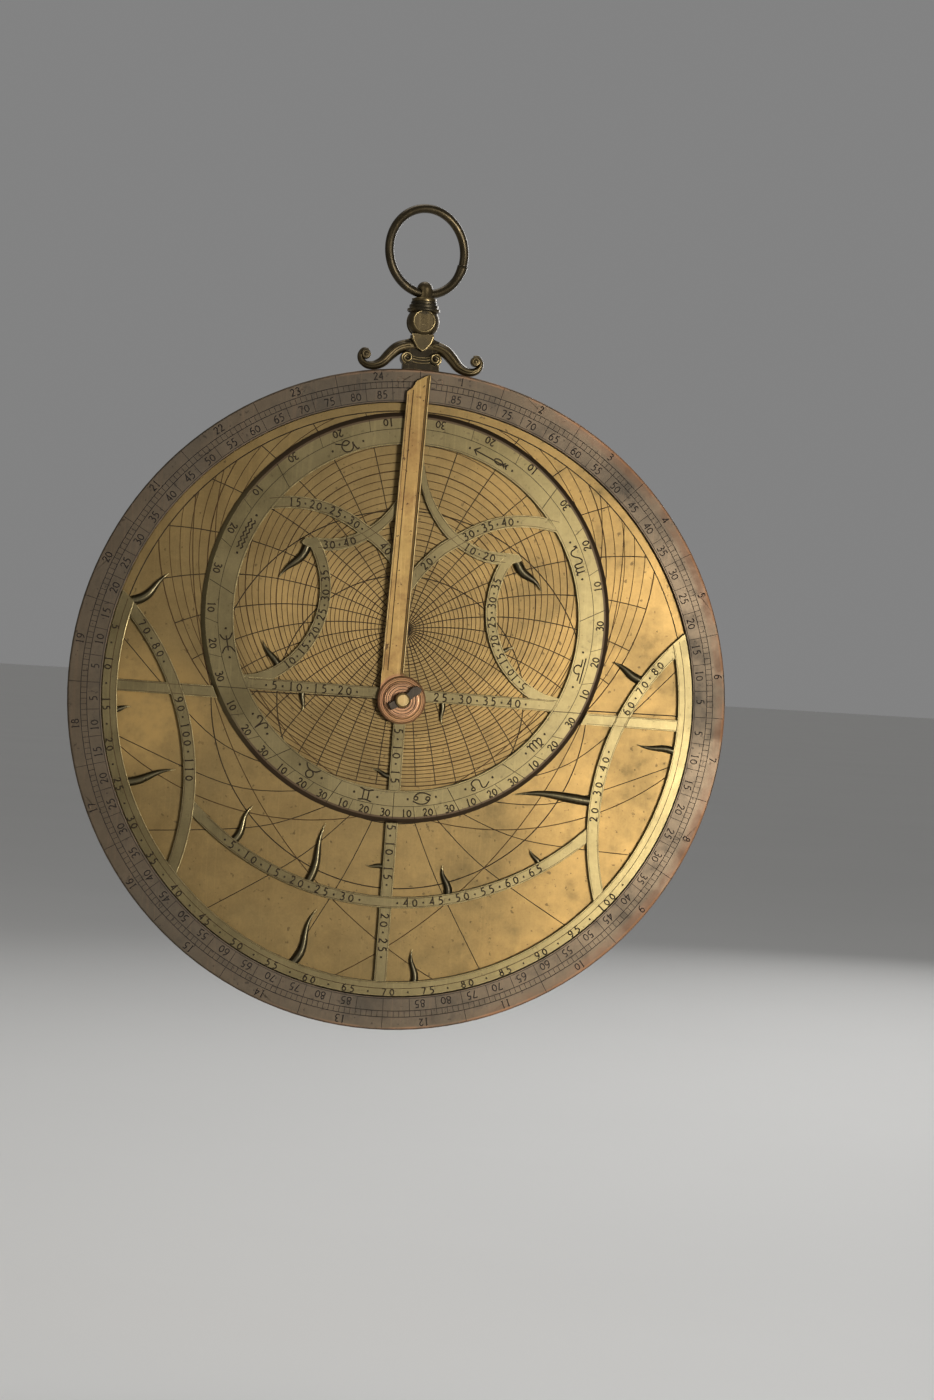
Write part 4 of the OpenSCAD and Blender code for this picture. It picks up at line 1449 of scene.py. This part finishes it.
    def _lens(self, start: float, end: float) -> Path:
        """Middle line of the right lens strap, between two angles."""
        return arc_path(self.lens_centre, self.lens_r, start, end)

    def _side_line(self) -> Path:
        """Middle line of the right side strap, from its lower end at the rim to its upper one."""
        line = arc_path(self.side_centre, self.side_r, 230.0, 130.0, 2.0)
        return runs_inside(line, LAYOUT.rim_in_r - 0.6)[0]

    def _borders(self, burin: Burin) -> None:
        """Cuts a line inside both edges of each strap and bar, and the rim's dividing line.

        Args:
            burin: Cuts the lines.
        """
        for path, half in ((self._lens(237.0, 154.0), 1.65), (self._side_line(), 1.85), (self.crown_low, 1.8),
                           (self.crown_high, 1.4)):
            for side in SIDES:
                burin.pair(offset_path(path, side * (half - self.inset)), 0.13)
        for centre, radius, start, end, width in (
                (self.lower_centre, self.lower_r - 1.7 + self.inset, 229.0, 311.0, 0.13),
                (self.lower_centre, self.lower_r + 1.7 - self.inset, 229.0, 311.0, 0.13),
                (PIVOT, LAYOUT.rim_middle_r - 0.1, -196.0, 16.0, 0.18),
                (PIVOT, LAYOUT.rim_in_r + 0.4, -195.0, 15.0, 0.1)):
            burin.stroke(arc_path(centre, radius, start, end, 2.5), width)
        for heights, start, end in (((0.5 - LAYOUT.bar_w, -0.3), 57.4, 85.0), ((0.3, 3.0), 8.0, 46.6)):
            for v in heights:
                burin.pair([(start, v), (end, v)], self.hairline)
        for start, end in ((-7.6, -27.4), (-36.8, -59.4), (-63.2, -85.2)):
            burin.pair([(1.45, start), (1.45, end)], self.hairline)
        burin.cut(BROWN_LINE, "rete", "pointer_brass")

    def _lettering(self, burin: Burin) -> None:
        """Cuts plain running numbers where a real star map names its stars.

        Args:
            burin: Cuts the numbers.
        """
        lens, side = self._lens(236.0, 158.0), self._side_line()
        crown, high = self.crown_low, self.crown_high[16:]
        left, lower = mirrored(side)[::-1], arc_path(self.lower_centre, self.lower_r, 231.5, 309.0)
        for text, path, pitch, start in (
                ("5.10.15.20.25.30.35", lens, 0.85, 1.4), ("10.15.20.25.30.35.", mirrored(lens), 0.85, 3.6),
                ("20.30.40.", side, 1.15, 23.0), ("60.70.80", side, 1.1, 57.5),
                ("70.80.", left, 1.15, 4.5), ("90.100.110", left, 1.15, 30.0),
                (".5.10.15.20.25.30.", lower, 1.15, 5.0), (".40.45.50.55.60.65", lower, 1.15, 61.5),
                ("15.20.25.30.", mirrored(crown), 0.92, 6.5), ("40", mirrored(crown), 0.92, 38.0),
                ("20.", crown[::-1], 0.92, 5.0), ("30.35.40.", crown[::-1], 0.92, 20.5),
                ("10.20", high, 0.92, 5.4), ("30.40", mirrored(high)[::-1], 0.92, 2.2)):
            burin.numerals_on_path(text, path, pitch, start)
        rim = arc_path(PIVOT, LAYOUT.rim_middle_r + 0.9, -194.0, 10.0)
        burin.numerals_on_path("".join(f"{value} . " for value in range(5, 105, 5)), rim, 1.16, 6.0, 2.1)
        for text, bar in (
                (".5.10.15.20.", [(-41.0, 1.65), (-8.0, 1.65)]), ("25.30.35.40.", [(10.6, 1.65), (46.0, 1.65)]),
                ("5.10.15", [(0.0, -9.4), (0.0, -28.0)]), ("5.10.15.", [(0.0, -38.6), (0.0, -60.0)]),
                ("20.25.", [(0.0, -65.5), (0.0, -85.0)])):
            burin.numerals_on_path(text, bar, 1.02, 0.0, 2.45)
        burin.cut(DARK_LINE, "rete", "pointer_brass")

    def _pointers(self) -> None:
        """Makes the flame-shaped pointers, each with a ridge along its back."""
        strokes = []
        for *ends, width, s_bow, c_bow in self.pointers:
            base, tip = Vector(ends[:2]), Vector(ends[2:])
            run = tip - base
            across = Vector((-run.y, run.x))
            points, radii = [], []
            for s in (i / 14 for i in range(15)):
                arch = sin(pi * s)
                at = base + run * s + across * (s_bow * sin(tau * s) + c_bow * arch)
                points.append((at.x, at.y))
                radii.append(max(width / 2 * (1 - s) ** 0.8 * (1 + 0.35 * arch), 0.06))
            strokes.append((points, radii, False))
        middle = (LAYOUT.rete_y + LAYOUT.rete_back_y) / 2 - 0.03
        placing = Face(middle, Facing.FRONT, LAYOUT.rete_turn).placing(0.4)
        ready(drawn("star_flames", strokes, placing), POINTER_BRASS, "rete", "pointer_brass", "star_pointers")


@dataclass
class RuleAndPin(Part):
    """The rule, its boss, the washers, the pin and the wedge."""

    rule_w: float = 6.8
    rule_len: float = 98.4

    def build(self) -> None:
        """Dresses the solids and engraves the rule, the boss and the washer."""
        for finish, width, name in (
                (RULE_BRASS, 0.28, "rule"), (WASHER_COPPER, 0.2, "front_washer"), (WEDGE_IRON, 0.2, "wedge"),
                (PIN_BRASS, 0.15, "centre_pin"), (ALIDADE_BRASS, 0.1, "back_washer")):
            self.solids(finish, width, name)
        face = Face(LAYOUT.rule_y, Facing.FRONT, LAYOUT.rule_turn)
        w, length = self.rule_w, self.rule_len
        # The edge strips are paler brass: wear and a painted highlight along the rule's edges.
        lines, edges = Burin("rule_lines", face), Burin("rule_edges", face)
        for burin, u, low, high, width in (
                (lines, 1.8 - w, 8.6, length - 5.0, 0.28), (lines, 0.5 - w, 8.6, length - 6.4, 0.14),
                (lines, -1.1, 7.6, length - 1.0, 0.2), (edges, -0.24, 8.2, length - 0.5, 0.42),
                (edges, 0.2 - w, 8.2, length - 7.0, 0.26)):
            burin.stroke([(u, low), (u, high)], width)
        boss = Burin("boss_turning", Face(LAYOUT.boss_y))
        washer = Burin("washer_turning", Face(LAYOUT.washer_y))
        for burin, step, circles in (
                (boss, 5.0, ((5.7, 0.25), (6.35, 0.12), (6.8, 0.2))),
                (washer, 6.0, ((2.5, 0.2), (3.3, 0.16), (4.2, 0.22), (4.7, 0.12)))):
            for radius, width in circles:
                burin.circle(radius, width, step=step)
        lines.cut(BROWN_LINE, "rule", "rule_brass")
        edges.cut(RULE_EDGE_WEAR_AND_HIGHLIGHT, "rule", "rule_brass")
        boss.cut(BROWN_LINE, "rule", "rule_brass")
        washer.cut(LIMB_LINE, "pin", "washer_copper")


@dataclass
class Back(Part):
    """The engraved back, the alidade and its folding sight vanes.

    Attributes:
        circles: Radii of the scales' circles, from the edge in.
        inner_r: Radius of the circle round the hours and the square.
        first_day: Where the year begins, in degrees.
        square: Half the shadow square's width.
        shadow_ticks: Depths of its short and its long ticks.
        months: Days in each month.
    """

    circles: tuple[float, ...] = (99.0, 97.2, 93.4, 91.8, 87.6, 82.6, 81.0, 77.2, 73.0)
    inner_r: float = 71.0
    first_day: float = 8.0
    square: float = 44.0
    shadow_ticks: tuple[float, float] = (3.0, 7.2)
    months: tuple[int, ...] = (31, 28, 31, 30, 31, 30, 31, 31, 30, 31, 30, 31)

    def build(self) -> None:
        """Dresses the solids and engraves the back and the alidade."""
        self.solids(ALIDADE_BRASS, 0.12, "alidade", "sight_vane_upper", "sight_vane_lower")
        self.solids(PIN_BRASS, 0.12, "vane_hinge_pins")
        face = Face(LAYOUT.back_y, Facing.BACK)
        self._scales(Burin("back_scales", face))
        self._quarters(Burin("back_quarters", face))
        self._alidade(Burin("alidade_lines", Face(LAYOUT.alidade_y, Facing.BACK)))

    def _scales(self, scale: Burin) -> None:
        """Cuts the altitude circle, the zodiac circle and the day circle, with numbers between the lines.

        Args:
            scale: Cuts the scales.
        """
        edge, ticks, altitudes, zodiac, parts, signs, days, dates, months = self.circles
        for radius in self.circles:
            scale.circle(radius, 0.2)
        for step, inner, outer in ((1, ticks, edge), (1, zodiac, altitudes), (5, altitudes, ticks)):
            scale.ticks(step, inner, outer, 0.14)
        scale.quarters(90, 2.5, (ticks + altitudes) / 2, 2.1, 0.26)
        for index, sign in enumerate(SIGNS):
            start = 30.0 * index
            scale.radial(start, signs, zodiac, 0.22)
            for part in scale.tens:
                scale.number(part, (zodiac + parts) / 2, start + part - 3.0, 2.1, 0.26)
            scale.figure(sign, polar((parts + signs) / 2, start + 15.0), start - 75.0, 1.0, 0.3)
        start, step = self.first_day, 360.0 / sum(self.months)
        for day in range(sum(self.months)):
            scale.radial(start + step * day, days, signs, 0.13)
        for month, length in enumerate(self.months, 1):
            scale.radial(start, months, signs, 0.22)
            for day in (10, 20, length):
                scale.number(day, (days + dates) / 2, start + step * (day - 2.5), 1.9, 0.24)
            scale.number(month, (dates + months) / 2, start + step * length / 2, 2.5, 0.3)
            start += step * length
        scale.cut(DARK_LINE, "mater", "pointer_brass")

    def _quarters(self, lines: Burin) -> None:
        """Cuts the unequal hours above and the shadow square below.

        Args:
            lines: Cuts the lines.
        """
        reach, square = self.inner_r, self.square
        lines.circle(reach, 0.18)
        for angle in (0.0, 90.0):
            lines.radial(angle, -reach, reach, 0.2)
        for hour in range(1, 7):
            radius = reach / (2.0 * sin(radians(15.0 * hour)))
            for run in runs_inside(arc_path((0.0, radius), radius, -90.0, 90.0, 2.0), reach):
                lines.pair(run, 0.16)
        short, long = self.shadow_ticks
        for half, width in ((square, 0.22), (square - short, 0.14), (square - long, 0.18)):
            lines.stroke([(-half, 0.0), (-half, -half), (half, -half), (half, 0.0)], width)
        for part in range(1, 12):
            along, labelled = square * part / 12.0, part % 3 == 0
            for side in SIDES:
                for u, v in ((side * square, -along), (side * along, -square)):
                    depth = (long if labelled else short) / square * 1.02
                    lines.stroke([(u, v), (u - u * depth, v - v * depth)], 0.14)
                    if labelled:
                        inward = 1.0 - depth * 0.72
                        lines.numerals(str(part), (u * inward - 1.5, v * inward + 1.5), 0.0, 2.0, 0.24)
        lines.cut(DARK_LINE, "mater", "pointer_brass")

    def _alidade(self, lines: Burin) -> None:
        """Cuts the alidade's middle line, its border lines and its boss.

        Args:
            lines: Cuts the lines.
        """
        for side in SIDES:
            for u, low, high, width in ((0.0, 10.2, 66.5, 0.22), (0.0, 77.0, 94.5, 0.22),
                                        (-5.0, 9.0, 66.5, 0.14), (5.0, 9.0, 66.5, 0.14)):
                lines.stroke([(u, side * low), (u, side * high)], width)
            for v in (side * (10.0 + 4.6 * step) for step in range(1, 12)):
                lines.stroke([(2.4, v), (5.0, v)], 0.14)
        for radius in (7.8, 8.6):
            lines.circle(radius, 0.16, step=5.0)
        lines.cut(BROWN_LINE, "alidade", "alidade_brass")


@dataclass(frozen=True)
class Lamp:
    """A soft studio lamp: where it hangs, how large it is and how strong."""

    name: str
    at: tuple[float, float, float]
    size: float
    watts: float
    spread: float = 180.0
    aim: tuple[float, float, float] = (0.0, 0.0, -0.147)

    def hang(self) -> None:
        """Puts the lamp in the scene, aimed at the object."""
        light = bpy.data.lights.new(self.name, "AREA")
        light.shape = "DISK"
        light.size = self.size
        light.energy = self.watts
        light.spread = radians(self.spread)
        lamp = new_object(self.name, light)
        lamp.location = self.at
        lamp.rotation_euler = (Vector(self.aim) - Vector(self.at)).to_track_quat("-Z", "Y").to_euler()


@dataclass
class Studio:
    """Camera at the photograph's angle, soft lamps, a pale floor and a pale surround."""

    lens: float = 73.0
    sensor: float = 36.0
    turn: float = 7.52
    pitch: float = 1.05
    roll: float = 3.48
    distance: float = 857.8
    shift_left: float = 19.9
    shift_down: float = 0.02
    floor_z: float = -0.36
    floor_size: float = 60.0
    surround: float = 0.225
    lamps: tuple[Lamp, ...] = (
        Lamp("key", (0.5, -0.94, -0.17), size=0.3, watts=1.0, spread=55.0),
        Lamp("fill", (-0.75, -1.0, 0.45), size=0.9, watts=1.9),
        Lamp("top", (0.1, 0.35, 0.9), size=0.8, watts=3.2),
        Lamp("rear", (0.7, 1.45, 0.25), size=1.0, watts=2.8, spread=85.0),
    )

    def build(self) -> None:
        """Builds the whole studio."""
        self._camera()
        self._floor()
        world = bpy.data.worlds.new("surround")
        world.use_nodes = True
        background = next(node for node in world.node_tree.nodes if node.type == "BACKGROUND")
        background.inputs["Color"].default_value = (self.surround, self.surround, self.surround, 1.0)
        bpy.context.scene.world = world
        for lamp in self.lamps:
            lamp.hang()
        bpy.context.scene.view_settings.view_transform = "Standard"

    def _camera(self) -> None:
        """Sets the camera where the photographer stood."""
        pitch, turn, roll = (Matrix.Rotation(radians(angle), 3, axis)
                             for angle, axis in ((self.pitch, "X"), (self.turn, "Z"), (self.roll, "Y")))
        back = (pitch @ turn @ roll).transposed()
        eye = back @ Vector((self.shift_left, -self.distance, self.shift_down))
        eye += Vector((0.0, LAYOUT.limb_y, LAYOUT.pivot_z))
        data = bpy.data.cameras.new("camera")
        data.lens = self.lens
        data.sensor_fit = "VERTICAL"
        data.sensor_height = self.sensor
        data.clip_start = 0.01
        camera = new_object("camera", data)
        right, up, behind = (back @ Vector(axis) for axis in ((1, 0, 0), (0, 0, 1), (0, -1, 0)))
        camera.matrix_world = Matrix.Translation(eye * MM) @ Matrix((right, up, behind)).transposed().to_4x4()
        bpy.context.scene.camera = camera

    def _floor(self) -> None:
        """Lays a plain pale floor under the hanging object."""
        shape = bmesh.new()
        bmesh.ops.create_grid(shape, x_segments=2, y_segments=2, size=self.floor_size / 2)
        floor = from_bmesh("floor", shape, Matrix.Translation((0.0, 0.0, self.floor_z)))
        FloorFinish("floor_matt").dress(floor)


def main() -> None:
    """Builds the studio and every sub-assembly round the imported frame."""
    logging.basicConfig(level=logging.INFO, format="%(name)s: %(message)s")
    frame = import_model()
    Studio().build()
    for part in (Suspension, Throne, Limb, LatitudePlates, StarMap, RuleAndPin, Back):
        LOG.info("building %s", part.__name__)
        part(frame["nodes"]).build()


if __name__ == "__main__":
    main()
